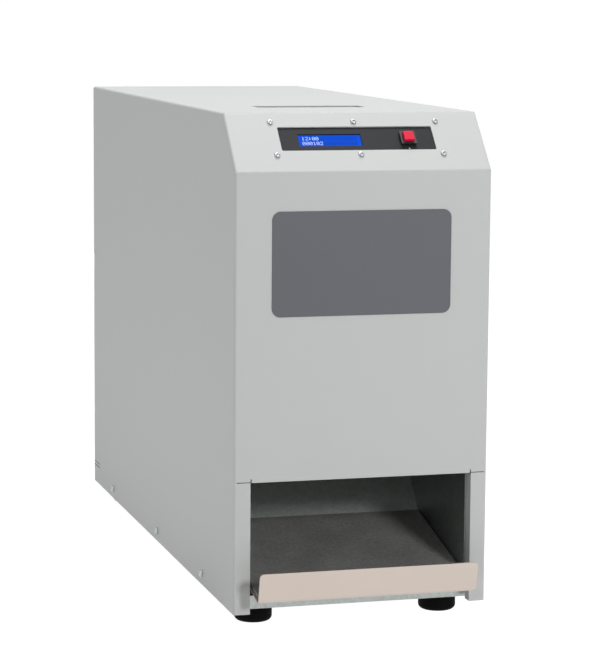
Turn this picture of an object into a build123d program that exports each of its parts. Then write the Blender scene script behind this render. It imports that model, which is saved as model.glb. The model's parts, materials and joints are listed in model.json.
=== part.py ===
"""Hard drive degausser: a free-standing steel cabinet with a drop-in slot, a pulse coil and an exit bay.

Millimetres. +Z is up, the front faces -Y and +X is to the right of someone facing the front.
The origin is on the floor, under the middle of the whole machine.
"""
from math import cos, radians, sin, sqrt, tan
import os

from build123d import *

os.makedirs("parts", exist_ok=True)

# Cabinet
body_width = 260.0
body_depth = 708.0
body_height = 488.0
slope_run = 51.3
slope_rise = 54.5
cover_sheet = 1.5
cover_bend = 2.5
rear_flange = 16.0
fit_gap = 0.2
cut_margin = 3.0

# Feet
foot_height = 18.0
foot_radius = 19.0
foot_edge = 5.0
foot_inset_x = 33.0
foot_inset_y = 51.5
foot_recess_radius = 7.5
foot_recess_depth = 9.0

# Base pan of galvanised sheet
pan_sheet = 1.5
pan_bend = 2.5
pan_wall = 26.0
pan_front_lip = 14.0
pan_setback = 19.0

# Exit bay in the front of the cover
bay_margin = 16.5
bay_height = 131.0
bay_return = 12.5
seam_gap = 0.8
relief_width = 1.2
relief_height = 3.5

# Bay side walls, which also carry the coil
wall_sheet = 1.5
wall_bend = 2.5
wall_flange = 10.0
wall_gap = 0.3
wall_setback = 0.5

# Exit ramp, its lip and its mat
ramp_sheet = 1.5
ramp_bend = 2.5
ramp_angle = 13.3
ramp_reach = 25.0
ramp_foot = 16.0
ramp_back = 156.0
lip_height = 32.0
lip_corner = 5.0
mat_thickness = 3.0
mat_margin = 2.0
rail_leg = 11.0
rail_start = 62.0
rail_end_gap = 6.0

# Steep chute behind the ramp
chute_angle = 50.0
chute_back_gap = 30.0

# Media slot in the top
slot_width = 114.0
slot_depth = 31.0
slot_corner = 2.5
slot_x = -10.5
slot_front = 152.0

# Pulse coil
coil_base = 204.0
coil_plate = 8.0
coil_plate_corner = 8.0
former_wall = 3.0
former_flange = 4.0
former_flange_lap = 2.0
former_nose = 10.0
former_collar = 6.0
winding_build = 24.0
winding_corner = 27.0
spigot_gap = 0.3
rod_radius = 4.0
rod_gap = 0.3
rod_span_x = 150.0
rod_offset = 14.0
rod_end = 4.0
nut_across_flats = 13.0
nut_height = 6.5
plate_border = 14.0

# Feed throat between the slot and the coil
throat_length = 102.3
throat_wall = 2.5
throat_flange = 3.0
throat_flange_lap = 9.0
socket_wall = 5.0

# Drop gate under the coil
gate_sheet = 3.0
gate_gap = 0.5
gate_lap_x = 5.0
gate_lap_y = 4.0
gate_front_gap = 3.0
gate_axis_drop = 4.5
gate_axis_back = 12.0
gate_hub_radius = 7.0
gate_hub_length = 12.0
gate_shaft_radius = 4.0
shaft_chamfer = 0.5
shaft_gap = 0.1
gate_rib = 6.0
bearing_gap = 1.0
bearing_width = 8.0
bearing_border = 6.0
shaft_overhang = 1.5
bracket_sheet = 2.5
bracket_bend = 1.5
bracket_gap = 1.0
gearbox_radius = 15.0
gearbox_length = 17.0
motor_radius = 12.0
motor_edge = 1.5
motor_wall_gap = 3.0
motor_bore_depth = 11.0

# Control panel behind the slope's window
window_width = 157.6
window_height = 30.0
window_corner = 1.5
panel_centre = 41.3
panel_sheet = 1.2
panel_border_x = 14.0
panel_border_s = 12.0
panel_screw_x = 84.7
panel_screw_s = 20.7
panel_screw_radius = 1.5
panel_screw_head = 2.9
panel_screw_head_height = 2.0
panel_screw_end = 4.0
screw_gap = 0.3
thread_gap = 0.05
head_crown = 0.6

# Bare plate of printed film on the front
plate_width = 182.0
plate_height = 102.6
plate_corner = 8.5
plate_x = -2.2
plate_drop = 38.2
plate_film = 0.6

# Display module
lcd_view_width = 64.0
lcd_view_height = 15.0
lcd_x = -27.4
lcd_s = 40.5
lcd_bezel_border = 4.0
lcd_bezel_depth = 5.0
lcd_bezel_lip = 0.5
lcd_glass_lap = 1.0
lcd_glass_sheet = 1.2
lcd_board_width = 80.0
lcd_board_height = 36.0
board_sheet = 1.6
lcd_post_radius = 2.0
lcd_post_inset = 3.0

# Start push-button
start_x = 51.7
start_s = 40.6
start_bezel = 15.8
start_bezel_height = 3.5
start_body = 13.6
start_body_depth = 20.0
start_cap = 10.6
start_cap_rise = 3.5
start_cap_edge = 1.0
start_gap = 0.3
start_travel = 3.0
start_well_spare = 1.0
start_skirt = 4.0
start_stem_radius = 2.0
start_stem_length = 8.0

# Control board over the bay
control_board_width = 150.0
control_board_depth = 82.0
control_board_back = 8.0
standoff_height = 8.0
standoff_radius = 3.0
standoff_inset = 6.0
chip_width = 18.0
chip_depth = 13.0
chip_height = 3.5
chip_pitch_x = 37.5
chip_pitch_y = 41.0
relay_width = 19.0
relay_depth = 15.0
relay_height = 15.0
relay_pitch = 37.5
connector_width = 9.0
connector_length = 41.0
connector_height = 10.0
connector_inset = 15.0

# Capacitor bank
capacitor_radius = 44.0
capacitor_height = 170.0
capacitor_edge = 4.0
capacitor_pitch_x = 104.0
capacitor_pitch_y = 100.0
capacitor_lead_gap = 22.0
terminal_radius = 7.0
terminal_height = 6.0
terminal_spread = 14.0
clamp_sheet = 2.0
clamp_bend = 3.0
clamp_height = 116.0
clamp_foot = 12.0
clamp_gap = 0.3
clamp_border = 8.0
bus_bar_width = 18.0
bus_bar_sheet = 3.0
bus_link_end = 4.5
bolt_head_radius = 6.0
bolt_head_height = 5.0
bolt_shank_radius = 3.0

# Charging supply at the rear
core_width = 100.0
core_depth = 48.0
core_height = 84.0
core_leg = 17.0
core_window = 17.0
core_x = -30.0
core_rear_gap = 62.0
winding_clearance = 0.3
winding_overhang = 18.0
winding_round = 9.0
bridge_height = 150.0
bridge_depth = 190.0
bridge_rear_gap = 18.0
charger_board_width = 120.0
charger_board_depth = 96.0
charger_rear_inset = 6.0
smoothing_radius = 9.5
smoothing_height = 15.0
smoothing_pitch_x = 30.0
smoothing_pitch_y = 32.0
heat_sink_width = 110.0
heat_sink_depth = 60.0
heat_sink_base = 6.0
heat_sink_fin_height = 22.0
heat_sink_fin = 2.0
heat_sink_fins = 9
heat_sink_front_inset = 6.0
thyristor_width = 90.0
thyristor_depth = 34.0
thyristor_height = 26.0
thyristor_corner = 2.5
thyristor_terminal = 5.0
thyristor_terminal_pitch = 45.0

# Heavy leads between coil, thyristor and capacitors
lead_radius = 5.0
lead_bend = 24.0
lead_gap = 1.0

# Rear panel
panel_steel = 1.5
vent_length = 44.0
vent_height = 5.0
vent_rows = 7
vent_pitch = 11.0
vent_column = 62.0
vent_base = 62.0
rear_screw_radius = 1.9
rear_screw_head = 3.6
rear_screw_head_height = 2.3
rear_screw_length = 8.0
rear_screw_low = 60.0
rear_screw_high = 48.0
rear_screw_top_x = 60.0
rear_pan_screw_height = 14.0

# Side screws of the cover
side_screw_places = (133.0, 345.0, 589.0)
side_screw_height = 11.5
side_screw_radius = 1.9
side_screw_head = 4.0
side_screw_head_height = 2.5
side_screw_length = 8.0

# Lanced tab at the cover's lower rear corners
lance_length = 29.0
lance_inset = 4.0
lance_heights = (21.0, 25.2)
lance_gap = 1.2
lance_hook = 2.2

# Mains inlet and switch
inlet_x = -62.0
inlet_height = 205.0
inlet_flange_width = 50.0
inlet_flange_height = 24.0
inlet_flange_corner = 6.0
inlet_flange_sheet = 3.0
inlet_body_width = 27.4
inlet_body_height = 20.4
inlet_body_depth = 26.0
inlet_socket_width = 24.4
inlet_socket_height = 16.4
inlet_socket_chamfer = 4.0
inlet_socket_depth = 17.0
inlet_screw_span = 40.0
inlet_screw_radius = 1.5
inlet_screw_head = 2.8
inlet_screw_head_height = 1.6
inlet_screw_length = 9.0
pin_width = 2.0
pin_height = 4.0
pin_length = 14.0
pin_spread = 7.0
earth_pin_rise = 4.0
cutout_gap = 0.3
switch_x = 0.0
switch_bezel_width = 25.0
switch_bezel_height = 31.0
switch_bezel_sheet = 2.5
switch_bezel_corner = 2.0
switch_body_width = 21.6
switch_body_height = 27.6
switch_body_depth = 22.0
switch_well_width = 18.0
switch_well_height = 24.0
switch_well_depth = 12.0
rocker_side_gap = 0.3
rocker_half_length = 10.4
rocker_front = 5.0
rocker_crest = 2.0
rocker_back = 3.0
rocker_tilt = 8.0
rocker_pivot_depth = 1.5
rocker_pin_radius = 1.6
rocker_pin_length = 2.0

# Cooling fan
fan_x = 0.0
fan_top_gap = 60.5
fan_size = 119.0
fan_depth = 25.4
fan_corner = 7.0
fan_bore = 56.5
fan_hole_span = 105.0
fan_hole_radius = 2.2
fan_strut = 5.0
fan_strut_depth = 4.0
fan_hub_radius = 21.0
rotor_radius = 54.5
rotor_hub_radius = 20.0
rotor_hub_depth = 17.0
rotor_hub_edge = 2.5
rotor_gap = 0.6
rotor_pin_radius = 2.0
rotor_pin_gap = 0.2
rotor_pin_length = 3.0
blade_count = 7
blade_sheet = 2.0
blade_chord = 20.0
blade_angle = 40.0
guard_height = 8.0
guard_wire = 1.0
guard_rings = (20.0, 32.0, 44.0, 56.0)
guard_eye_radius = 5.5
guard_eye_sheet = 1.2
fan_screw_length = 30.0

# Places worked out from the sizes above
half_width = body_width / 2
ramp_tilt = radians(ramp_angle)
front_reach = ramp_reach + lip_height * sin(ramp_tilt)
rear_reach = guard_height - cover_sheet - fit_gap
overall_depth = front_reach + body_depth + rear_reach
front_y = front_reach - overall_depth / 2
rear_y = front_y + body_depth
base_z = foot_height
top_z = base_z + body_height
fold_z = top_z - slope_rise
floor_z = base_z + pan_sheet
inner_half = half_width - cover_sheet - fit_gap
cover_cut = cover_sheet + cut_margin

bay_half = half_width - bay_margin
bay_top_z = base_z + bay_height
wall_x = bay_half - wall_sheet / 2
wall_inner = bay_half - wall_sheet
wall_front_y = front_y + bay_return + wall_setback
pan_front_y = front_y + pan_setback
panel_outer_y = rear_y - cover_sheet - fit_gap
panel_inner_y = panel_outer_y - panel_steel

ramp_half = wall_inner - wall_gap
ramp_length = (ramp_back + ramp_reach) / cos(ramp_tilt)
ramp_dir = (0, cos(ramp_tilt), sin(ramp_tilt))
ramp_origin = (0, front_y - ramp_reach, base_z + ramp_foot)
ramp_plane = Plane(origin=ramp_origin, x_dir=ramp_dir, z_dir=(1, 0, 0))
ramp_end_y = front_y + ramp_back
ramp_end_z = base_z + ramp_foot + ramp_length * sin(ramp_tilt)

slot_y = front_y + slot_front + slot_depth / 2
slot_rear_y = slot_y + slot_depth / 2
coil_base_z = base_z + coil_base
coil_deck_z = coil_base_z + coil_plate
winding_base_z = coil_deck_z + former_flange
throat_top_z = top_z - cover_sheet - fit_gap
winding_top_z = throat_top_z - throat_length - coil_plate - former_flange
winding_height = winding_top_z - winding_base_z
top_plate_z = winding_top_z + former_flange
coil_top_z = top_plate_z + coil_plate
former_width = slot_width + 2 * former_wall
former_depth = slot_depth + 2 * former_wall
winding_width = former_width + 2 * winding_build
winding_depth = former_depth + 2 * winding_build
spigot_width = former_width + 2 * spigot_gap
spigot_depth = former_depth + 2 * spigot_gap
rod_span_y = winding_depth + 2 * rod_offset
plate_depth = rod_span_y + 2 * plate_border
plate_half = wall_x + wall_flange
plate_rear_y = slot_y + plate_depth / 2

gate_top_z = coil_base_z - former_nose - gate_gap
gate_under_z = gate_top_z - gate_sheet
gate_axis_z = gate_under_z - gate_axis_drop
gate_axis_y = slot_rear_y + gate_axis_back
gate_front_y = front_y + slot_front - gate_lap_y
gate_left = slot_x - slot_width / 2 - gate_lap_x
gate_right = slot_x + slot_width / 2 + gate_lap_x
bearing_left_x = gate_left - bearing_gap - bearing_width
bearing_right_x = gate_right + bearing_gap
bracket_x = bearing_right_x + bearing_width + bracket_gap
gearbox_x = bracket_x + bracket_sheet
motor_x = gearbox_x + gearbox_length
motor_length = wall_inner - motor_wall_gap - motor_x
chute_back_y = gate_axis_y + chute_back_gap - gate_axis_back
bay_roof_z = bay_top_z + cover_sheet
roof_back_y = gate_front_y - gate_front_gap

slope_plane = Plane(
    origin=(0, front_y, fold_z), x_dir=(1, 0, 0), z_dir=(0, -slope_rise, slope_run)
)
panel_face = -cover_sheet
panel_back = panel_face - panel_sheet
lcd_back = panel_back - lcd_bezel_depth

capacitor_front_y = plate_rear_y + capacitor_lead_gap + capacitor_radius
capacitor_top_z = floor_z + capacitor_height
terminal_z = capacitor_top_z + terminal_height
bus_top_z = terminal_z + bus_bar_sheet
capacitor_mid_y = capacitor_front_y + capacitor_pitch_y / 2
bridge_rear_y = panel_inner_y - pan_sheet - bridge_rear_gap
bridge_front_y = bridge_rear_y - bridge_depth
bridge_top_z = floor_z + bridge_height + clamp_sheet
fan_z = top_z - fan_top_gap - fan_size / 2
inlet_z = base_z + inlet_height


def save(piece, name):
    """Label a finished piece and write it to its own file."""
    piece.part.label = name
    export_step(piece.part, f"parts/{name}.step")


def block(x_range, y_range, z_range, mode=Mode.ADD):
    """Add or cut a block between three ranges of coordinates."""
    middle = [(low + high) / 2 for low, high in (x_range, y_range, z_range)]
    with Locations(tuple(middle)):
        Box(*(high - low for low, high in (x_range, y_range, z_range)), mode=mode)


def round_bar(plane, places, radius, length, mode=Mode.ADD):
    """Add or cut round bars that start on a plane and run along its normal."""
    with BuildSketch(plane) as ends:
        with Locations(*places):
            Circle(radius)
    extrude(ends.sketch, amount=length, mode=mode)


def pan_head(piece, plane, places, head, height, shank, length):
    """Add pan-head screws whose heads stand on a plane and whose shanks run below it."""
    round_bar(plane, places, head, height)
    rims = plane.offset(height)
    crowns = [face.outer_wire().edges() for face in faces_on(piece, rims)]
    fillet([edge for ring in crowns for edge in ring], radius=height * head_crown)
    round_bar(plane, places, shank, -length)


def faces_on(piece, plane):
    """Faces of a piece in hand that lie in a plane."""
    near = 1e-4
    return [
        face
        for face in piece.part.faces().filter_by(plane)
        if abs((face.center() - plane.origin).dot(plane.z_dir)) < near
    ]


def bent_sheet(plane, points, sheet, bend, length):
    """Fold a sheet along a line of corners on a plane and run it along the plane's normal."""
    with BuildSketch(plane) as section:
        with BuildLine():
            FilletPolyline(*points, radius=bend)
        trace(line_width=sheet)
    extrude(section.sketch, amount=length)


# Folded and welded outer cover: front, slope, top and two sides
with BuildPart() as outer_cover:
    with BuildSketch(Plane.YZ.offset(-half_width)):
        with BuildLine():
            Polyline(
                (front_y, base_z),
                (front_y, fold_z),
                (front_y + slope_run, top_z),
                (rear_y, top_z),
                (rear_y, base_z),
                close=True,
            )
        make_face()
    extrude(amount=body_width)
    underside = outer_cover.faces().sort_by(Axis.Z)[0]
    fillet(outer_cover.edges() - underside.edges(), radius=cover_bend)
    offset(amount=-cover_sheet, openings=outer_cover.faces().sort_by(Axis.Z)[0])
    # Rear opening, inside a flange that laps the rear panel
    block(
        (rear_flange - half_width, half_width - rear_flange),
        (rear_y - cover_cut, rear_y + cut_margin),
        (base_z - cut_margin, top_z - rear_flange),
        Mode.SUBTRACT,
    )
    # Front opening of the exit bay, with its three inward returns
    block(
        (-bay_half, bay_half),
        (front_y - cut_margin, front_y + cover_cut),
        (base_z - cut_margin, bay_top_z),
        Mode.SUBTRACT,
    )
    return_range = (front_y + cover_sheet, front_y + bay_return)
    block(
        (relief_width - bay_half, bay_half - relief_width),
        return_range,
        (bay_top_z, bay_top_z + cover_sheet),
    )
    for side in (-1, 1):
        edges_x = sorted((side * bay_half, side * (bay_half + cover_sheet)))
        block(edges_x, return_range, (base_z, bay_top_z - cover_sheet))
        seam_x = sorted((side * bay_half, side * (half_width - cover_bend)))
        seam_y = (front_y - cut_margin, front_y + cover_cut)
        block(seam_x, seam_y, (bay_top_z, bay_top_z + seam_gap), Mode.SUBTRACT)
        relief_x = sorted((side * bay_half, side * (bay_half - relief_width)))
        relief_z = (bay_top_z - cut_margin, bay_top_z + relief_height)
        block(relief_x, seam_y, relief_z, Mode.SUBTRACT)
    # Media slot
    with BuildSketch(Plane.XY.offset(top_z)):
        with Locations((slot_x, slot_y)):
            RectangleRounded(slot_width, slot_depth, slot_corner)
    extrude(amount=-cover_cut, mode=Mode.SUBTRACT)
    # Window and screw holes in the slope
    with BuildSketch(slope_plane):
        with Locations((0, panel_centre)):
            RectangleRounded(window_width, window_height, window_corner)
            with GridLocations(panel_screw_x, 2 * panel_screw_s, 3, 2):
                Circle(panel_screw_radius + screw_gap)
    extrude(amount=cover_cut, both=True, mode=Mode.SUBTRACT)
    # Screw holes and lanced tabs in both sides
    with BuildSketch(Plane.YZ):
        with Locations(*((front_y + place, base_z + side_screw_height) for place in side_screw_places)):
            Circle(side_screw_radius + screw_gap)
        for height in lance_heights:
            with Locations((rear_y - lance_inset - lance_length / 2, base_z + height)):
                Rectangle(lance_length, lance_gap)
        hook_y = rear_y - lance_inset - lance_length + lance_gap / 2
        with Locations((hook_y, base_z + lance_heights[1] - lance_hook / 2)):
            Rectangle(lance_gap, lance_hook)
    extrude(amount=body_width, both=True, mode=Mode.SUBTRACT)
    # Screw holes in the rear flange
    flange_x = half_width - rear_flange / 2
    flange_low_z = base_z + rear_screw_low
    flange_high_z = top_z - rear_screw_high
    flange_rows = (flange_low_z, (flange_low_z + flange_high_z) / 2, flange_high_z)
    flange_places = [(side * flange_x, row) for side in (-1, 1) for row in flange_rows]
    flange_places += [(side * rear_screw_top_x, top_z - rear_flange / 2) for side in (-1, 1)]
    with BuildSketch(Plane.XZ.offset(-rear_y)):
        with Locations(*flange_places):
            Circle(rear_screw_radius + screw_gap)
    extrude(amount=cover_cut, both=True, mode=Mode.SUBTRACT)
save(outer_cover, "outer_cover")

# Bare plate of film, stuck to the front below the slope
with BuildPart() as front_plate:
    with BuildSketch(Plane.XZ.offset(-front_y)):
        with Locations((plate_x, fold_z - plate_drop - plate_height / 2)):
            RectangleRounded(plate_width, plate_height, plate_corner)
    extrude(amount=plate_film)
save(front_plate, "front_plate")

# Base pan, folded up on all four sides
foot_x = half_width - foot_inset_x
foot_places = {
    "front_left": (-foot_x, front_y + foot_inset_y),
    "front_right": (foot_x, front_y + foot_inset_y),
    "rear_left": (-foot_x, rear_y - foot_inset_y),
    "rear_right": (foot_x, rear_y - foot_inset_y),
}
pan_screw_places = [(side * rear_screw_top_x, base_z + rear_pan_screw_height) for side in (-1, 1)]
with BuildPart() as base_pan:
    with BuildSketch(Plane.XY.offset(base_z)):
        with Locations((0, (pan_front_y + panel_inner_y) / 2)):
            Rectangle(2 * inner_half, panel_inner_y - pan_front_y)
    extrude(amount=pan_wall)
    pan_rim = base_pan.faces().sort_by(Axis.Z)[-1]
    fillet(base_pan.edges() - pan_rim.edges(), radius=pan_bend)
    offset(amount=-pan_sheet, openings=base_pan.faces().sort_by(Axis.Z)[-1])
    block(
        (-half_width, half_width),
        (pan_front_y - cut_margin, pan_front_y + pan_sheet + pan_bend),
        (base_z + pan_front_lip, base_z + pan_wall + cut_margin),
        Mode.SUBTRACT,
    )
    foot_holes = Plane.XY.offset(base_z - cut_margin)
    round_bar(foot_holes, foot_places.values(), side_screw_radius + screw_gap, 2 * cut_margin + pan_sheet,
              Mode.SUBTRACT)
    side_holes = [(front_y + place, base_z + side_screw_height) for place in side_screw_places]
    round_bar(Plane.YZ.offset(-half_width), side_holes, side_screw_radius + thread_gap, body_width,
              Mode.SUBTRACT)
    round_bar(Plane.XZ.offset(-panel_outer_y), pan_screw_places, rear_screw_radius + thread_gap,
              panel_steel + pan_sheet + cut_margin, Mode.SUBTRACT)
save(base_pan, "base_pan")

# Rubber feet, each turned about its own screw
for corner, (x, y) in foot_places.items():
    with BuildPart() as foot:
        with BuildSketch(Plane.XY):
            with Locations((x, y)):
                Circle(foot_radius)
        extrude(amount=foot_height)
        fillet(foot.faces().sort_by(Axis.Z)[0].edges(), radius=foot_edge)
        round_bar(Plane.XY, [(x, y)], foot_recess_radius, foot_recess_depth, Mode.SUBTRACT)
        round_bar(Plane.XY, [(x, y)], side_screw_radius + screw_gap, foot_height, Mode.SUBTRACT)
    save(foot, f"foot_{corner}")

# Screws of the feet, with their heads up in the recesses
with BuildPart() as foot_screws:
    recess = Plane((0, 0, foot_recess_depth), x_dir=(1, 0, 0), z_dir=(0, 0, -1))
    flipped = [(x, -y) for x, y in foot_places.values()]
    pan_head(foot_screws, recess, flipped, side_screw_head, side_screw_head_height, side_screw_radius,
             foot_height - foot_recess_depth + pan_sheet + cut_margin)
save(foot_screws, "foot_screws")

# Screws of the cover's sides
with BuildPart() as cover_screws:
    for side in (-1, 1):
        side_plane = Plane((side * half_width, 0, 0), x_dir=(0, side, 0), z_dir=(side, 0, 0))
        places = [(side * (front_y + place), base_z + side_screw_height) for place in side_screw_places]
        pan_head(cover_screws, side_plane, places, side_screw_head, side_screw_head_height,
                 side_screw_radius, side_screw_length)
save(cover_screws, "cover_screws")

# Side walls of the exit bay, which stand on the pan and carry the coil
for side, name in ((-1, "left"), (1, "right")):
    with BuildPart() as bay_wall:
        bent_sheet(
            Plane.XZ.offset(-wall_front_y),
            [
                (side * (wall_x + wall_flange), floor_z + wall_sheet / 2),
                (side * wall_x, floor_z + wall_sheet / 2),
                (side * wall_x, coil_base_z - wall_sheet / 2),
                (side * (wall_x + wall_flange), coil_base_z - wall_sheet / 2),
            ],
            wall_sheet,
            wall_bend,
            wall_front_y - plate_rear_y,
        )
        block(
            (-half_width, half_width),
            (wall_front_y - cut_margin, pan_front_y + pan_sheet + pan_bend),
            (base_z, base_z + pan_front_lip + wall_gap),
            Mode.SUBTRACT,
        )
    save(bay_wall, f"bay_wall_{name}")

# Roof of the bay, turned up in front of the drop gate
with BuildPart() as bay_roof:
    bent_sheet(
        Plane.YZ.offset(-ramp_half),
        [
            (front_y + cover_sheet + wall_gap, bay_roof_z + wall_sheet / 2),
            (roof_back_y, bay_roof_z + wall_sheet / 2),
            (roof_back_y, coil_base_z),
        ],
        wall_sheet,
        wall_bend,
        2 * ramp_half,
    )
save(bay_roof, "bay_roof")

# Exit ramp with its stop lip
with BuildPart() as exit_ramp:
    bent_sheet(
        ramp_plane.offset(-ramp_half),
        [
            (ramp_length, ramp_sheet / 2),
            (ramp_sheet / 2, ramp_sheet / 2),
            (ramp_sheet / 2, lip_height),
        ],
        ramp_sheet,
        ramp_bend,
        2 * ramp_half,
    )
    along_ramp = exit_ramp.edges().filter_by(Axis((0, 0, 0), ramp_dir))
    lip_corners = along_ramp.filter_by(lambda edge: edge.length < 2 * ramp_sheet).sort_by(Axis.Z)[-2:]
    fillet(lip_corners, radius=lip_corner)
save(exit_ramp, "exit_ramp")

# Rubber mat on the ramp
with BuildPart() as ramp_mat:
    with BuildSketch(ramp_plane.offset(mat_margin - ramp_half)):
        mat_start = ramp_sheet + ramp_bend + mat_margin
        mat_length = ramp_length - mat_margin - mat_start
        with Locations((mat_start + mat_length / 2, ramp_sheet + mat_thickness / 2)):
            Rectangle(mat_length, mat_thickness)
    extrude(amount=2 * (ramp_half - mat_margin))
save(ramp_mat, "ramp_mat")

# Angle rails under the ramp's two edges
with BuildPart() as ramp_rails:
    rail_origin = Vector(ramp_origin) + Vector(ramp_dir) * rail_start
    rail_plane = Plane(origin=rail_origin, x_dir=(1, 0, 0), z_dir=ramp_dir)
    for side in (-1, 1):
        rail_x = wall_inner - wall_sheet / 2
        bent_sheet(
            rail_plane,
            [
                (side * (wall_inner - rail_leg), wall_sheet / 2),
                (side * rail_x, wall_sheet / 2),
                (side * rail_x, rail_leg),
            ],
            wall_sheet,
            wall_bend,
            ramp_length - rail_start - rail_end_gap,
        )
save(ramp_rails, "ramp_rails")

# Steep chute plate, from the ramp's upper end to the coil
with BuildPart() as chute_plate:
    chute_foot_y = ramp_end_y + wall_gap + wall_sheet
    chute_knee_z = ramp_end_z + (chute_back_y - chute_foot_y) * tan(radians(chute_angle))
    bent_sheet(
        Plane.YZ.offset(-ramp_half),
        [(chute_foot_y, ramp_end_z), (chute_back_y, chute_knee_z), (chute_back_y, coil_base_z)],
        wall_sheet,
        wall_bend,
        2 * ramp_half,
    )
save(chute_plate, "chute_plate")

# Insulating plates that clamp the coil between them
rod_places = [
    (slot_x + x_sign * rod_span_x / 2, slot_y + y_sign * rod_span_y / 2)
    for x_sign in (-1, 1)
    for y_sign in (-1, 1)
]
for name, plate_z in (("coil_bottom_plate", coil_base_z), ("coil_top_plate", top_plate_z)):
    with BuildPart() as coil_clamp:
        with BuildSketch(Plane.XY.offset(plate_z)):
            with Locations((0, slot_y)):
                RectangleRounded(2 * plate_half, plate_depth, coil_plate_corner)
            with Locations((slot_x, slot_y)):
                Rectangle(spigot_width, spigot_depth, mode=Mode.SUBTRACT)
            with Locations(*rod_places):
                Circle(rod_radius + rod_gap, mode=Mode.SUBTRACT)
        extrude(amount=coil_plate)
    save(coil_clamp, name)

# Coil former: a rectangular tube with two flanges
with BuildPart() as coil_former:
    with BuildSketch(Plane.XY.offset(coil_base_z - former_nose)):
        with Locations((slot_x, slot_y)):
            Rectangle(former_width, former_depth)
    extrude(amount=coil_top_z + former_collar - coil_base_z + former_nose)
    for flange_z in (coil_deck_z, winding_top_z):
        with BuildSketch(Plane.XY.offset(flange_z)):
            with Locations((slot_x, slot_y)):
                RectangleRounded(
                    winding_width + 2 * former_flange_lap,
                    winding_depth + 2 * former_flange_lap,
                    winding_corner + former_flange_lap,
                )
        extrude(amount=former_flange)
    with BuildSketch(Plane.XY.offset(coil_base_z - former_nose)):
        with Locations((slot_x, slot_y)):
            RectangleRounded(slot_width, slot_depth, slot_corner)
    extrude(amount=body_height, mode=Mode.SUBTRACT)
save(coil_former, "coil_former")

# Copper winding between the former's flanges
with BuildPart() as coil_winding:
    with BuildSketch(Plane.XY.offset(winding_base_z)):
        with Locations((slot_x, slot_y)):
            RectangleRounded(winding_width, winding_depth, winding_corner)
            Rectangle(former_width, former_depth, mode=Mode.SUBTRACT)
    extrude(amount=winding_height)
save(coil_winding, "coil_winding")

# Tie rods of the coil and their nuts
with BuildPart() as coil_tie_rods:
    rod_foot_z = coil_base_z - nut_height - rod_end
    rod_length = coil_top_z + nut_height + rod_end - rod_foot_z
    round_bar(Plane.XY.offset(rod_foot_z), rod_places, rod_radius, rod_length)
    for nut_z in (coil_base_z - nut_height, coil_top_z):
        with BuildSketch(Plane.XY.offset(nut_z)):
            with Locations(*rod_places):
                RegularPolygon(nut_across_flats / 2, 6, major_radius=False)
                Circle(rod_radius + thread_gap, mode=Mode.SUBTRACT)
        extrude(amount=nut_height)
save(coil_tie_rods, "coil_tie_rods")

# Feed throat that guides a drive from the slot into the coil
with BuildPart() as feed_throat:
    throat_width = slot_width + 2 * throat_wall
    throat_depth = slot_depth + 2 * throat_wall
    tube = (coil_top_z, throat_length, 0)
    socket_lap = spigot_gap + former_wall + socket_wall - throat_wall
    socket = (coil_top_z, former_collar + throat_wall, socket_lap)
    flange = (throat_top_z - throat_flange, throat_flange, throat_flange_lap)
    for section_z, section_height, lap in (tube, socket, flange):
        with BuildSketch(Plane.XY.offset(section_z)):
            with Locations((slot_x, slot_y)):
                RectangleRounded(throat_width + 2 * lap, throat_depth + 2 * lap, slot_corner + throat_wall)
        extrude(amount=section_height)
    with BuildSketch(Plane.XY.offset(coil_top_z)):
        with Locations((slot_x, slot_y)):
            Rectangle(spigot_width, spigot_depth)
    extrude(amount=former_collar, mode=Mode.SUBTRACT)
    with BuildSketch(Plane.XY.offset(coil_top_z)):
        with Locations((slot_x, slot_y)):
            RectangleRounded(slot_width, slot_depth, slot_corner)
    extrude(amount=throat_length, mode=Mode.SUBTRACT)
save(feed_throat, "feed_throat")

# Drop gate that holds a drive in the coil and lets it fall
gate_axis = (gate_axis_y, gate_axis_z)
with BuildPart() as drop_gate:
    block((gate_left, gate_right), (gate_front_y, gate_axis_y), (gate_under_z, gate_top_z))
    block(
        (gate_left, gate_right),
        (gate_front_y, gate_front_y + gate_sheet),
        (gate_under_z - gate_rib, gate_under_z),
    )
    for hub_x in (gate_left, gate_right - gate_hub_length):
        round_bar(Plane.YZ.offset(hub_x), [gate_axis], gate_hub_radius, gate_hub_length)
    round_bar(Plane.YZ.offset(gate_left), [gate_axis], gate_shaft_radius + thread_gap,
              gate_right - gate_left, Mode.SUBTRACT)
save(drop_gate, "drop_gate")

# Gate shaft, driven at its right end
with BuildPart() as gate_shaft:
    shaft_left = bearing_left_x - shaft_overhang
    round_bar(Plane.YZ.offset(shaft_left), [gate_axis], gate_shaft_radius,
              gearbox_x + motor_bore_depth - shaft_gap - shaft_left)
    chamfer(gate_shaft.edges().filter_by(GeomType.CIRCLE), length=shaft_chamfer)
save(gate_shaft, "gate_shaft")

# Bearing blocks hung under the coil's bottom plate
with BuildPart() as gate_bearings:
    bearing_half = gate_shaft_radius + bearing_border
    for bearing_x in (bearing_left_x, bearing_right_x):
        with BuildSketch(Plane.YZ.offset(bearing_x)):
            with Locations(gate_axis):
                Circle(bearing_half)
            with Locations((gate_axis_y, (gate_axis_z + coil_base_z) / 2)):
                Rectangle(2 * bearing_half, coil_base_z - gate_axis_z)
            with Locations(gate_axis):
                Circle(gate_shaft_radius + shaft_gap, mode=Mode.SUBTRACT)
        extrude(amount=bearing_width)
save(gate_bearings, "gate_bearings")

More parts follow.
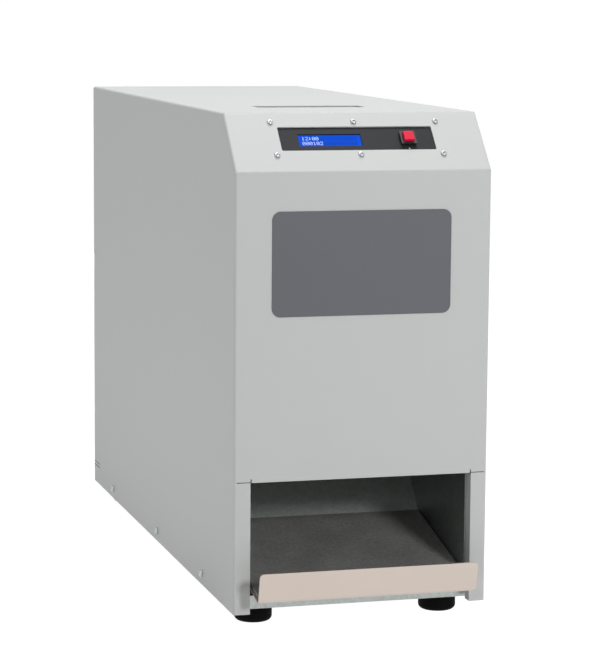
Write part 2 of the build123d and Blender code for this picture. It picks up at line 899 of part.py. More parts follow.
# Bracket and gear motor of the gate
with BuildPart() as gate_motor_bracket:
    flange_x_mid = bracket_x + bracket_sheet / 2
    with BuildSketch(Plane.XZ.offset(gearbox_radius - gate_axis_y)):
        with BuildLine():
            FilletPolyline(
                (flange_x_mid, gate_axis_z - gearbox_radius),
                (flange_x_mid, coil_base_z - bracket_sheet / 2),
                (motor_x, coil_base_z - bracket_sheet / 2),
                radius=bracket_bend,
            )
        trace(line_width=bracket_sheet)
    extrude(amount=-2 * gearbox_radius)
    round_bar(Plane.YZ.offset(bracket_x - cut_margin), [gate_axis], gate_shaft_radius + bracket_gap,
              bracket_sheet + 2 * cut_margin, Mode.SUBTRACT)
save(gate_motor_bracket, "gate_motor_bracket")

with BuildPart() as gate_motor:
    round_bar(Plane.YZ.offset(gearbox_x), [gate_axis], gearbox_radius, gearbox_length)
    round_bar(Plane.YZ.offset(motor_x), [gate_axis], motor_radius, motor_length)
    fillet(gate_motor.faces().sort_by(Axis.X)[-1].edges(), radius=motor_edge)
    round_bar(Plane.YZ.offset(gearbox_x), [gate_axis], gate_shaft_radius + shaft_gap, motor_bore_depth,
              Mode.SUBTRACT)
save(gate_motor, "gate_motor")

# Control panel plate behind the window in the slope
with BuildPart() as control_panel:
    with BuildSketch(slope_plane.offset(panel_face)):
        with Locations((0, panel_centre)):
            RectangleRounded(
                window_width + 2 * panel_border_x, window_height + 2 * panel_border_s, window_corner
            )
            with GridLocations(panel_screw_x, 2 * panel_screw_s, 3, 2):
                Circle(panel_screw_radius + thread_gap, mode=Mode.SUBTRACT)
        with Locations((lcd_x, lcd_s)):
            Rectangle(lcd_view_width, lcd_view_height, mode=Mode.SUBTRACT)
        with Locations((start_x, start_s)):
            Rectangle(start_body + 2 * cutout_gap, start_body + 2 * cutout_gap, mode=Mode.SUBTRACT)
    extrude(amount=-panel_sheet)
save(control_panel, "control_panel")

with BuildPart() as panel_screws:
    places = [
        (column * panel_screw_x, panel_centre + row * panel_screw_s)
        for column in (-1, 0, 1)
        for row in (-1, 1)
    ]
    pan_head(panel_screws, slope_plane, places, panel_screw_head, panel_screw_head_height,
             panel_screw_radius, cover_sheet + panel_sheet + panel_screw_end)
save(panel_screws, "panel_screws")

# Display: bezel, glass, board and the posts that hold the board
lcd_place = (lcd_x, lcd_s)
glass_width = lcd_view_width + 2 * lcd_glass_lap
glass_height = lcd_view_height + 2 * lcd_glass_lap
with BuildPart() as lcd_bezel:
    with BuildSketch(slope_plane.offset(panel_back)):
        with Locations(lcd_place):
            Rectangle(lcd_view_width + 2 * lcd_bezel_border, lcd_view_height + 2 * lcd_bezel_border)
            Rectangle(lcd_view_width, lcd_view_height, mode=Mode.SUBTRACT)
    extrude(amount=-lcd_bezel_depth)
    with BuildSketch(slope_plane.offset(lcd_back)):
        with Locations(lcd_place):
            Rectangle(glass_width + 2 * fit_gap, glass_height + 2 * fit_gap)
    extrude(amount=lcd_bezel_depth - lcd_bezel_lip, mode=Mode.SUBTRACT)
save(lcd_bezel, "lcd_bezel")

with BuildPart() as lcd_glass:
    with BuildSketch(slope_plane.offset(panel_back - lcd_bezel_lip)):
        with Locations(lcd_place):
            Rectangle(glass_width, glass_height)
    extrude(amount=-lcd_glass_sheet)
save(lcd_glass, "lcd_glass")

with BuildPart() as lcd_board:
    with BuildSketch(slope_plane.offset(lcd_back)):
        with Locations(lcd_place):
            Rectangle(lcd_board_width, lcd_board_height)
    extrude(amount=-board_sheet)
save(lcd_board, "lcd_board")

with BuildPart() as lcd_posts:
    with BuildSketch(slope_plane.offset(panel_back)):
        with Locations(lcd_place):
            with GridLocations(
                lcd_board_width - 2 * lcd_post_inset, lcd_board_height - 2 * lcd_post_inset, 2, 2
            ):
                Circle(lcd_post_radius)
    extrude(amount=-lcd_bezel_depth)
save(lcd_posts, "lcd_posts")

# Start push-button: a fixed switch body and a sprung square cap
start_place = (start_x, start_s)
start_top = panel_face + start_bezel_height
start_well = start_cap + 2 * start_gap
start_skirt_end = start_top - start_skirt
start_well_floor = start_skirt_end - start_travel - start_well_spare
with BuildPart() as start_switch:
    with BuildSketch(slope_plane.offset(panel_face)):
        with Locations(start_place):
            RectangleRounded(start_bezel, start_bezel, start_cap_edge)
    extrude(amount=start_bezel_height)
    with BuildSketch(slope_plane.offset(panel_face)):
        with Locations(start_place):
            Rectangle(start_body, start_body)
    extrude(amount=-start_body_depth)
    with BuildSketch(slope_plane.offset(start_top)):
        with Locations(start_place):
            Rectangle(start_well, start_well)
    extrude(amount=start_well_floor - start_top, mode=Mode.SUBTRACT)
    stem_room = start_stem_length + start_travel + start_well_spare
    round_bar(slope_plane.offset(start_skirt_end), [start_place], start_stem_radius + start_gap,
              -stem_room, Mode.SUBTRACT)
save(start_switch, "start_switch")

with BuildPart() as start_button:
    with BuildSketch(slope_plane.offset(start_skirt_end)):
        with Locations(start_place):
            Rectangle(start_cap, start_cap)
    extrude(amount=start_skirt + start_cap_rise)
    cap_face = faces_on(start_button, slope_plane.offset(start_top + start_cap_rise))[0]
    fillet(cap_face.edges(), radius=start_cap_edge)
    round_bar(slope_plane.offset(start_skirt_end), [start_place], start_stem_radius, -start_stem_length)
save(start_button, "start_button")

# Standoffs of the control board, over the bay, and of the charger board, on its bridge
roof_top_z = bay_roof_z + wall_sheet
control_board_z = roof_top_z + standoff_height
control_board_y = roof_back_y - control_board_back - control_board_depth / 2
charger_y = bridge_rear_y - charger_rear_inset - charger_board_depth / 2
charger_z = bridge_top_z + standoff_height
with BuildPart() as board_standoffs:
    for seat_z, board_y, board_width, board_depth in (
        (roof_top_z, control_board_y, control_board_width, control_board_depth),
        (bridge_top_z, charger_y, charger_board_width, charger_board_depth),
    ):
        with BuildSketch(Plane.XY.offset(seat_z)):
            with Locations((0, board_y)):
                with GridLocations(board_width - 2 * standoff_inset, board_depth - 2 * standoff_inset, 2, 2):
                    Circle(standoff_radius)
        extrude(amount=standoff_height)
save(board_standoffs, "board_standoffs")

# Control board with its chips, relays and connector
with BuildPart() as control_board:
    with BuildSketch(Plane.XY.offset(control_board_z)):
        with Locations((0, control_board_y)):
            Rectangle(control_board_width, control_board_depth)
    extrude(amount=board_sheet)
    board_top = Plane.XY.offset(control_board_z + board_sheet)
    with BuildSketch(board_top):
        with Locations((0, control_board_y)):
            with GridLocations(chip_pitch_x, chip_pitch_y, 3, 2):
                Rectangle(chip_width, chip_depth)
    extrude(amount=chip_height)
    with BuildSketch(board_top):
        with Locations((0, control_board_y)):
            with GridLocations(relay_pitch, 1, 2, 1):
                Rectangle(relay_width, relay_depth)
    extrude(amount=relay_height)
    with BuildSketch(board_top):
        with Locations((control_board_width / 2 - connector_inset, control_board_y)):
            Rectangle(connector_width, connector_length)
    extrude(amount=connector_height)
save(control_board, "control_board")

# Capacitor cans with two screw terminals each
capacitor_places = [
    (x_sign * capacitor_pitch_x / 2, capacitor_mid_y + y_sign * capacitor_pitch_y / 2)
    for y_sign in (-1, 1)
    for x_sign in (-1, 1)
]
for number, (x, y) in enumerate(capacitor_places, start=1):
    with BuildPart() as capacitor:
        round_bar(Plane.XY.offset(floor_z), [(x, y)], capacitor_radius, capacitor_height)
        fillet(capacitor.faces().sort_by(Axis.Z)[-1].edges(), radius=capacitor_edge)
        terminals = [(x - terminal_spread, y), (x + terminal_spread, y)]
        round_bar(Plane.XY.offset(capacitor_top_z), terminals, terminal_radius, terminal_height)
        round_bar(Plane.XY.offset(terminal_z), terminals, bolt_shank_radius + thread_gap,
                  -terminal_height, Mode.SUBTRACT)
    save(capacitor, f"capacitor_{number}")

# Folded bracket that steadies the capacitors
clamp_half_x = capacitor_pitch_x / 2 + capacitor_radius + clamp_foot + clamp_border
clamp_depth = capacitor_pitch_y + 2 * capacitor_radius + 2 * clamp_border
clamp_top_z = floor_z + clamp_height


def bridge_profile(half_span, top):
    """Corners of a bridge with two feet turned in, from left to right."""
    middle = clamp_sheet / 2
    right = [
        (half_span, top - middle),
        (half_span, floor_z + middle),
        (half_span - clamp_foot, floor_z + middle),
    ]
    return [(-x, z) for x, z in reversed(right)] + right


with BuildPart() as capacitor_bracket:
    bent_sheet(
        Plane.XZ.offset(clamp_depth / 2 - capacitor_mid_y),
        bridge_profile(clamp_half_x, clamp_top_z),
        clamp_sheet,
        clamp_bend,
        -clamp_depth,
    )
    round_bar(Plane.XY.offset(clamp_top_z + cut_margin), capacitor_places, capacitor_radius + clamp_gap,
              -clamp_sheet - 2 * cut_margin, Mode.SUBTRACT)
save(capacitor_bracket, "capacitor_bracket")

# Copper bus bars: one along each side and a link across each pair of cans
outer_terminal_x = capacitor_pitch_x / 2 + terminal_spread
inner_terminal_x = capacitor_pitch_x / 2 - terminal_spread
terminal_rows = [capacitor_mid_y + sign * capacitor_pitch_y / 2 for sign in (-1, 1)]
bolt_places = [
    (sign * x, row) for sign in (-1, 1) for x in (outer_terminal_x, inner_terminal_x) for row in terminal_rows
]
with BuildPart() as bus_bars:
    with BuildSketch(Plane.XY.offset(terminal_z)):
        with Locations((-outer_terminal_x, capacitor_mid_y), (outer_terminal_x, capacitor_mid_y)):
            Rectangle(bus_bar_width, capacitor_pitch_y + 2 * bus_bar_width)
        with Locations(*((0, row) for row in terminal_rows)):
            Rectangle(2 * (inner_terminal_x + bus_link_end), bus_bar_width)
        with Locations(*bolt_places):
            Circle(bolt_shank_radius + screw_gap, mode=Mode.SUBTRACT)
    extrude(amount=bus_bar_sheet)
save(bus_bars, "bus_bars")

with BuildPart() as terminal_bolts:
    with BuildSketch(Plane.XY.offset(bus_top_z)):
        with Locations(*bolt_places):
            RegularPolygon(bolt_head_radius, 6)
    extrude(amount=bolt_head_height)
    round_bar(Plane.XY.offset(bus_top_z), bolt_places, bolt_shank_radius,
              fit_gap - bus_bar_sheet - terminal_height)
save(terminal_bolts, "terminal_bolts")

# Charging transformer: a laminated core with its winding round the middle leg
core_y = panel_inner_y - pan_sheet - core_rear_gap - core_depth / 2
middle_leg = core_width - 2 * core_leg - 2 * core_window
window_rise = core_height - 2 * core_leg
with BuildPart() as transformer_core:
    with BuildSketch(Plane.XZ.offset(core_depth / 2 - core_y)):
        with Locations((core_x, floor_z + core_height / 2)):
            Rectangle(core_width, core_height)
            with GridLocations(middle_leg + core_window, 1, 2, 1):
                Rectangle(core_window, window_rise, mode=Mode.SUBTRACT)
    extrude(amount=-core_depth)
save(transformer_core, "transformer_core")

with BuildPart() as transformer_winding:
    with BuildSketch(Plane.XY.offset(floor_z + core_leg)):
        with Locations((core_x, core_y)):
            RectangleRounded(
                middle_leg + 2 * (core_window - winding_clearance),
                core_depth + 2 * winding_overhang,
                winding_round,
            )
            Rectangle(
                middle_leg + 2 * winding_clearance, core_depth + 2 * winding_clearance, mode=Mode.SUBTRACT
            )
    extrude(amount=window_rise)
save(transformer_winding, "transformer_winding")

# Bridge over the transformer for the charging electronics
with BuildPart() as electronics_bridge:
    bent_sheet(
        Plane.XZ.offset(-bridge_front_y),
        bridge_profile(clamp_half_x, bridge_top_z),
        clamp_sheet,
        clamp_bend,
        -bridge_depth,
    )
save(electronics_bridge, "electronics_bridge")

# Charger board with its smoothing capacitors
with BuildPart() as charger_board:
    with BuildSketch(Plane.XY.offset(charger_z)):
        with Locations((0, charger_y)):
            Rectangle(charger_board_width, charger_board_depth)
    extrude(amount=board_sheet)
    charger_top = Plane.XY.offset(charger_z + board_sheet)
    with BuildSketch(charger_top):
        with Locations((0, charger_y)):
            with GridLocations(smoothing_pitch_x, smoothing_pitch_y, 3, 2):
                Circle(smoothing_radius)
    extrude(amount=smoothing_height)
save(charger_board, "charger_board")

# Thyristor module on a finned heat sink
heat_sink_y = bridge_front_y + heat_sink_front_inset + heat_sink_depth / 2
heat_sink_top_z = bridge_top_z + heat_sink_fin_height + heat_sink_base
with BuildPart() as heat_sink:
    with BuildSketch(Plane.XZ.offset(heat_sink_depth / 2 - heat_sink_y)):
        with Locations((0, heat_sink_top_z - heat_sink_base / 2)):
            Rectangle(heat_sink_width, heat_sink_base)
        with Locations((0, bridge_top_z + heat_sink_fin_height / 2)):
            fin_pitch = (heat_sink_width - heat_sink_fin) / (heat_sink_fins - 1)
            with GridLocations(fin_pitch, 1, heat_sink_fins, 1):
                Rectangle(heat_sink_fin, heat_sink_fin_height)
    extrude(amount=-heat_sink_depth)
save(heat_sink, "heat_sink")

thyristor_top_z = heat_sink_top_z + thyristor_height
thyristor_terminals = [(sign * thyristor_terminal_pitch / 2, heat_sink_y) for sign in (-1, 1)]
with BuildPart() as thyristor_module:
    with BuildSketch(Plane.XY.offset(heat_sink_top_z)):
        with Locations((0, heat_sink_y)):
            RectangleRounded(thyristor_width, thyristor_depth, thyristor_corner)
    extrude(amount=thyristor_height)
    round_bar(Plane.XY.offset(thyristor_top_z), thyristor_terminals, thyristor_terminal + fit_gap,
              thyristor_terminal)
save(thyristor_module, "thyristor_module")

# Heavy leads: coil to one bus bar, coil to thyristor, thyristor to the other bus bar
winding_rear_y = slot_y + winding_depth / 2
lead_level_z = thyristor_top_z + thyristor_terminal + 2 * lead_bend
bar_lead_step = bolt_head_radius + lead_radius + lead_gap
front_lead_y = terminal_rows[0] - bar_lead_step
rear_lead_y = terminal_rows[1] + bar_lead_step
lead_routes = (
    (
        (-outer_terminal_x, winding_rear_y, winding_base_z + 2 * lead_bend),
        (-outer_terminal_x, front_lead_y, winding_base_z + 2 * lead_bend),
        (-outer_terminal_x, front_lead_y, bus_top_z),
    ),
    (
        (-thyristor_terminals[1][0], winding_rear_y, lead_level_z),
        (-thyristor_terminals[1][0], heat_sink_y, lead_level_z),
        (-thyristor_terminals[1][0], heat_sink_y, thyristor_top_z + thyristor_terminal),
    ),
    (
        (thyristor_terminals[1][0], heat_sink_y, thyristor_top_z + thyristor_terminal),
        (thyristor_terminals[1][0], heat_sink_y, lead_level_z),
        (outer_terminal_x, rear_lead_y, lead_level_z),
        (outer_terminal_x, rear_lead_y, bus_top_z),
    ),
)
with BuildPart() as coil_leads:
    for route in lead_routes:
        with BuildLine():
            lead_path = FilletPolyline(*route, radius=lead_bend)
        with BuildSketch(Plane(origin=lead_path @ 0, z_dir=lead_path % 0)):
            Circle(lead_radius)
        sweep(path=lead_path)
save(coil_leads, "coil_leads")

# Rear panel with its cut-outs
inlet_place = (inlet_x, inlet_z)
switch_place = (switch_x, inlet_z)
fan_place = (fan_x, fan_z)
inlet_screw_places = [(inlet_x + sign * inlet_screw_span / 2, inlet_z) for sign in (-1, 1)]
with BuildPart() as rear_panel:
    panel_half = half_width - cover_bend - fit_gap
    panel_height = body_height - cover_bend - fit_gap
    with BuildSketch(Plane.XZ.offset(-panel_inner_y)):
        with Locations((0, base_z + panel_height / 2)):
            Rectangle(2 * panel_half, panel_height)
        with Locations(fan_place):
            Circle(fan_bore, mode=Mode.SUBTRACT)
            with GridLocations(fan_hole_span, fan_hole_span, 2, 2):
                Circle(fan_hole_radius, mode=Mode.SUBTRACT)
        with Locations(inlet_place):
            Rectangle(
                inlet_body_width + 2 * cutout_gap, inlet_body_height + 2 * cutout_gap, mode=Mode.SUBTRACT
            )
        with Locations(*inlet_screw_places):
            Circle(inlet_screw_radius + thread_gap, mode=Mode.SUBTRACT)
        with Locations(switch_place):
            Rectangle(
                switch_body_width + 2 * cutout_gap, switch_body_height + 2 * cutout_gap, mode=Mode.SUBTRACT
            )
        with Locations(*flange_places, *pan_screw_places):
            Circle(rear_screw_radius + thread_gap, mode=Mode.SUBTRACT)
        with Locations((0, base_z + vent_base + (vent_rows - 1) * vent_pitch / 2)):
            with GridLocations(vent_column, vent_pitch, 2, vent_rows):
                SlotOverall(vent_length, vent_height, mode=Mode.SUBTRACT)
    extrude(amount=-panel_steel)
save(rear_panel, "rear_panel")

# Mains inlet with its three pins and two screws
with BuildPart() as power_inlet:
    with BuildSketch(Plane.XZ.offset(-panel_outer_y)):
        with Locations(inlet_place):
            RectangleRounded(inlet_flange_width, inlet_flange_height, inlet_flange_corner)
        with Locations(*inlet_screw_places):
            Circle(inlet_screw_radius + screw_gap, mode=Mode.SUBTRACT)
    extrude(amount=-inlet_flange_sheet)
    with BuildSketch(Plane.XZ.offset(-panel_outer_y)):
        with Locations(inlet_place):
            Rectangle(inlet_body_width, inlet_body_height)
    extrude(amount=inlet_body_depth)
    with BuildSketch(Plane.XZ.offset(-panel_outer_y - inlet_flange_sheet)) as socket:
        with Locations(inlet_place):
            Rectangle(inlet_socket_width, inlet_socket_height)
        chamfer(socket.vertices().group_by(Axis.Z)[-1], length=inlet_socket_chamfer)
    extrude(amount=inlet_socket_depth, mode=Mode.SUBTRACT)
save(power_inlet, "power_inlet")

with BuildPart() as inlet_pins:
    socket_floor_y = panel_outer_y + inlet_flange_sheet - inlet_socket_depth
    with BuildSketch(Plane.XZ.offset(-socket_floor_y)):
        with Locations(inlet_place):
            with Locations((-pin_spread, 0), (0, earth_pin_rise), (pin_spread, 0)):
                Rectangle(pin_width, pin_height)
    extrude(amount=-pin_length)
save(inlet_pins, "inlet_pins")

# Mains switch: a fixed frame and a rocker on two pivot pins
rocker_pivot_y = panel_outer_y + rocker_pivot_depth
rocker_half_width = switch_well_width / 2 - rocker_side_gap
with BuildPart() as switch_frame:
    with BuildSketch(Plane.XZ.offset(-panel_outer_y)):
        with Locations(switch_place):
            RectangleRounded(switch_bezel_width, switch_bezel_height, switch_bezel_corner)
    extrude(amount=-switch_bezel_sheet)
    with BuildSketch(Plane.XZ.offset(-panel_outer_y)):
        with Locations(switch_place):
            Rectangle(switch_body_width, switch_body_height)
    extrude(amount=switch_body_depth)
    with BuildSketch(Plane.XZ.offset(-panel_outer_y - switch_bezel_sheet)):
        with Locations(switch_place):
            Rectangle(switch_well_width, switch_well_height)
    extrude(amount=switch_well_depth, mode=Mode.SUBTRACT)
    pin_room = rocker_half_width + rocker_pin_length + rocker_side_gap
    round_bar(Plane.YZ.offset(switch_x - pin_room), [(rocker_pivot_y - switch_bezel_sheet, inlet_z)],
              rocker_pin_radius + rocker_side_gap, 2 * pin_room, Mode.SUBTRACT)
save(switch_frame, "switch_frame")

with BuildPart() as power_rocker:
    tilt = radians(rocker_tilt)
    rocker_plane = Plane(
        origin=(switch_x, rocker_pivot_y - switch_bezel_sheet, inlet_z),
        x_dir=(0, cos(tilt), sin(tilt)),
        z_dir=(1, 0, 0),
    )
    with BuildSketch(rocker_plane.offset(-rocker_half_width)):
        with BuildLine():
            Polyline(
                (-rocker_back, -rocker_half_length),
                (rocker_front + rocker_crest, -rocker_half_length),
                (rocker_front, 0),
                (rocker_front + rocker_crest, rocker_half_length),
                (-rocker_back, rocker_half_length),
                close=True,
            )
        make_face()
    extrude(amount=2 * rocker_half_width)
    pin_start = rocker_half_width + rocker_pin_length
    round_bar(rocker_plane.offset(-pin_start), [(0, 0)], rocker_pin_radius, 2 * pin_start)
save(power_rocker, "power_rocker")

# Fan: frame with a motor carrier, bladed rotor, wire guard and screws
fan_front_y = panel_inner_y - fan_depth
with BuildPart() as fan_frame:
    with BuildSketch(Plane.XZ.offset(-panel_inner_y)):
        with Locations(fan_place):
            RectangleRounded(fan_size, fan_size, fan_corner)
            Circle(fan_bore, mode=Mode.SUBTRACT)
            with GridLocations(fan_hole_span, fan_hole_span, 2, 2):
                Circle(fan_hole_radius, mode=Mode.SUBTRACT)
    extrude(amount=fan_depth)
    with BuildSketch(Plane.XZ.offset(-fan_front_y)):
        with Locations(fan_place):
            Rectangle(2 * fan_bore + fan_strut, fan_strut)
            Rectangle(fan_strut, 2 * fan_bore + fan_strut)
            Circle(fan_hub_radius)
            Circle(rotor_pin_radius + rotor_pin_gap, mode=Mode.SUBTRACT)
    extrude(amount=-fan_strut_depth)
save(fan_frame, "fan_frame")

rotor_front_y = fan_front_y + fan_strut_depth + rotor_gap
with BuildPart() as fan_rotor:
    round_bar(Plane.XZ.offset(-rotor_front_y), [fan_place], rotor_hub_radius, -rotor_hub_depth)
    fillet(fan_rotor.faces().sort_by(Axis.Y)[-1].edges(), radius=rotor_hub_edge)
    blade_mid_y = rotor_front_y + rotor_hub_depth / 2
    for blade in range(blade_count):
        turn = radians(360 / blade_count * blade)
        outward = (cos(turn), 0, sin(turn))
        with BuildSketch(Plane((fan_x, blade_mid_y, fan_z), x_dir=(0, 1, 0), z_dir=outward)):
            Rectangle(blade_chord, blade_sheet, rotation=blade_angle)
        extrude(amount=rotor_radius)
    rim = Plane((0, blade_mid_y - blade_chord, 0), x_dir=(1, 0, 0), z_dir=(0, -1, 0))
    with BuildSketch(rim):
        with Locations(fan_place):
            Circle(rotor_radius)
    extrude(amount=-2 * blade_chord, mode=Mode.INTERSECT)
    round_bar(Plane.XZ.offset(-rotor_front_y), [fan_place], rotor_pin_radius, rotor_pin_length)
save(fan_rotor, "fan_rotor")

fan_corners = [
    (fan_x + x_sign * fan_hole_span / 2, fan_z + z_sign * fan_hole_span / 2)
    for x_sign in (-1, 1)
    for z_sign in (-1, 1)
]
guard_back_y = panel_outer_y + guard_height
guard_span = fan_hole_span / sqrt(2) - guard_eye_radius + guard_wire / 2
guard_leg = guard_span - guard_rings[0] + guard_wire
with BuildPart() as fan_guard:
    with BuildSketch(Plane.XZ.offset(-guard_back_y)):
        with Locations(fan_place):
            for ring in sorted(guard_rings, reverse=True):
                Circle(ring + guard_wire)
                Circle(ring - guard_wire, mode=Mode.SUBTRACT)
        with Locations(fan_place):
            with PolarLocations(guard_rings[0] + guard_leg / 2, 4, start_angle=45):
                Rectangle(guard_leg, 2 * guard_wire)
    extrude(amount=2 * guard_wire)
    post_places = [
        (fan_x + x_sign * guard_span / sqrt(2), fan_z + z_sign * guard_span / sqrt(2))
        for x_sign in (-1, 1)
        for z_sign in (-1, 1)
    ]
    round_bar(Plane.XZ.offset(-panel_outer_y), post_places, guard_wire, -guard_height + guard_wire)
    with BuildSketch(Plane.XZ.offset(-panel_outer_y)):
        with Locations(*fan_corners):
            Circle(guard_eye_radius)
            Circle(fan_hole_radius, mode=Mode.SUBTRACT)
    extrude(amount=-guard_eye_sheet)
save(fan_guard, "fan_guard")

# Screws in the rear: cover flange, base pan, fan and mains inlet
with BuildPart() as rear_screws:
    rear_groups = (
        (rear_y, flange_places, rear_screw_length),
        (panel_outer_y, pan_screw_places, rear_screw_length),
        (panel_outer_y + guard_eye_sheet, fan_corners, fan_screw_length),
    )
    for seat_y, places, length in rear_groups:
        behind = Plane((0, seat_y, 0), x_dir=(-1, 0, 0), z_dir=(0, 1, 0))
        pan_head(rear_screws, behind, [(-x, z) for x, z in places], rear_screw_head,
                 rear_screw_head_height, rear_screw_radius, length)
    behind = Plane((0, panel_outer_y + inlet_flange_sheet, 0), x_dir=(-1, 0, 0), z_dir=(0, 1, 0))
    pan_head(rear_screws, behind, [(-x, z) for x, z in inlet_screw_places], inlet_screw_head,
             inlet_screw_head_height, inlet_screw_radius, inlet_screw_length)
save(rear_screws, "rear_screws")
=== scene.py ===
"""Finishes, fine pieces and studio of a hard drive degausser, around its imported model.

Metres, in the model's own frame: +Z is up, the front faces -Y and +X is to the right of someone facing it.
"""
import json
import logging
import math
from dataclasses import dataclass, field
from enum import Enum
from typing import Any, Optional, Sequence

import bmesh
import bpy
from mathutils import Matrix, Vector


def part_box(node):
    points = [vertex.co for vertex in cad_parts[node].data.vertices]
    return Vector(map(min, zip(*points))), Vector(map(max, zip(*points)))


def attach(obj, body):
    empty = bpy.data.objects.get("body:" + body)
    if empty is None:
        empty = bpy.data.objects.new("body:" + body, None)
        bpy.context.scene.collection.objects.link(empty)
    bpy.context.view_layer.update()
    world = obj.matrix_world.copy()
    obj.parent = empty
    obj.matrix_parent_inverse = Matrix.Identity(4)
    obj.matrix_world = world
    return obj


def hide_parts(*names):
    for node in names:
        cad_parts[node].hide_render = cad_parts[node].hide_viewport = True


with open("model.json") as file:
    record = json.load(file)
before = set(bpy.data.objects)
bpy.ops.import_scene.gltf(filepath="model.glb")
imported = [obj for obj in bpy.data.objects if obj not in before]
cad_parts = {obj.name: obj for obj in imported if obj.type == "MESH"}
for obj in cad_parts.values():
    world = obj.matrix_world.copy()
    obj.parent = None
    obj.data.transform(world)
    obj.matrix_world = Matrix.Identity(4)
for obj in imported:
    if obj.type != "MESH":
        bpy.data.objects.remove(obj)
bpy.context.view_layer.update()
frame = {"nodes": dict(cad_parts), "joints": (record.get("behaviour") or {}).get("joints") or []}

MM = 0.001
MERGE = 1e-6
RIM_TOLERANCE = 1e-5
# Blender's wave texture runs through 20 radians for each unit of its scale.
WAVE_RADIANS = 20
SMOOTH_BELOW = math.radians(35.0)
log = logging.getLogger("degausser")


class Body(Enum):
    """The moving bodies of the machine, and the cabinet that carries them."""

    CABINET = "cabinet"
    START_BUTTON = "start_button"
    GATE = "gate"
    ROCKER = "rocker"
    FAN_ROTOR = "fan_rotor"


class Along(Enum):
    """The axis that a band or a brushed streak is counted along."""

    X = "X"
    Y = "Y"
    Z = "Z"


def linear(hex_code: str) -> tuple[float, float, float, float]:
    """Turn an sRGB hex colour into linear light.

    Args:
        hex_code: Six hex digits after a number sign.

    Returns:
        Linear red, green and blue, and an alpha of 1.
    """
    shares = [int(hex_code[i:i + 2], 16) / 255 for i in (1, 3, 5)]
    light = [s / 12.92 if s <= 0.04045 else ((s + 0.055) / 1.055) ** 2.4 for s in shares]
    return (*light, 1.0)


def add(
    tree: bpy.types.NodeTree,
    kind: str,
    settings: Optional[dict[str, Any]] = None,
    links: Optional[dict[str, bpy.types.NodeSocket]] = None,
) -> bpy.types.Node:
    """Add a shader node with its settings and its incoming links.

    Args:
        tree: The node tree that gets the node.
        kind: Blender's name of the kind of node.
        settings: Values of input sockets, or of the node's own properties.
        links: Source sockets by the name of the input that they feed.

    Returns:
        The new node.
    """
    node = tree.nodes.new(kind)
    for key, value in (settings or {}).items():
        if key in node.inputs:
            node.inputs[key].default_value = value
        else:
            setattr(node, key, value)
    for key, source in (links or {}).items():
        tree.links.new(source, node.inputs[key])
    return node


@dataclass(frozen=True)
class Finish:
    """A material with one even surface, and the base of the patterned ones."""

    name: str
    slot: str
    colour: str
    roughness: float
    metallic: float = 0.0
    ior: float = 1.5

    def material(self) -> bpy.types.Material:
        """Make the material on first use.

        Returns:
            The material of this finish.
        """
        made = bpy.data.materials.get(self.name)
        if made is not None:
            return made
        made = bpy.data.materials.new(self.name)
        made.use_nodes = True
        tree = made.node_tree
        shader = tree.nodes["Principled BSDF"]
        shader.inputs["Base Color"].default_value = linear(self.colour)
        shader.inputs["Roughness"].default_value = self.roughness
        shader.inputs["Metallic"].default_value = self.metallic
        if not self.metallic:
            shader.inputs["IOR"].default_value = self.ior
        place = add(tree, "ShaderNodeTexCoord").outputs["Object"]
        self.pattern(tree, shader, place)
        return made

    def pattern(
        self, tree: bpy.types.NodeTree, shader: bpy.types.Node, place: bpy.types.NodeSocket
    ) -> None:
        """Add the surface's own pattern; the plain finish has none.

        Args:
            tree: The material's nodes.
            shader: The shader that the pattern feeds.
            place: Coordinates on the piece, in metres.
        """

    def vary(
        self,
        tree: bpy.types.NodeTree,
        shader: bpy.types.Node,
        source: bpy.types.NodeSocket,
        shade: float,
        gloss: float,
    ) -> None:
        """Let a pattern lighten and darken the colour, and roughen and smooth the gloss.

        Args:
            tree: The material's nodes.
            shader: The shader that the pattern feeds.
            source: The pattern, from 0 to 1.
            shade: How far the brightness swings each way, as a share.
            gloss: How far the roughness swings each way.
        """
        swing = add(
            tree, "ShaderNodeMapRange", {"To Min": 1 - shade, "To Max": 1 + shade}, {"Value": source}
        )
        tint = add(
            tree,
            "ShaderNodeHueSaturation",
            {"Color": linear(self.colour)},
            {"Value": swing.outputs["Result"]},
        )
        tree.links.new(tint.outputs["Color"], shader.inputs["Base Color"])
        if gloss:
            rough = add(
                tree,
                "ShaderNodeMapRange",
                {"To Min": self.roughness - gloss, "To Max": self.roughness + gloss},
                {"Value": source},
            )
            tree.links.new(rough.outputs["Result"], shader.inputs["Roughness"])

    def relief(
        self,
        tree: bpy.types.NodeTree,
        shader: bpy.types.Node,
        source: bpy.types.NodeSocket,
        height_mm: float,
    ) -> None:
        """Raise a pattern from the surface.

        Args:
            tree: The material's nodes.
            shader: The shader whose normal is bent.
            source: The pattern, from 0 to 1.
            height_mm: Its height in millimetres.
        """
        bump = add(tree, "ShaderNodeBump", {"Strength": 1.0, "Distance": height_mm * MM}, {"Height": source})
        tree.links.new(bump.outputs["Normal"], shader.inputs["Normal"])


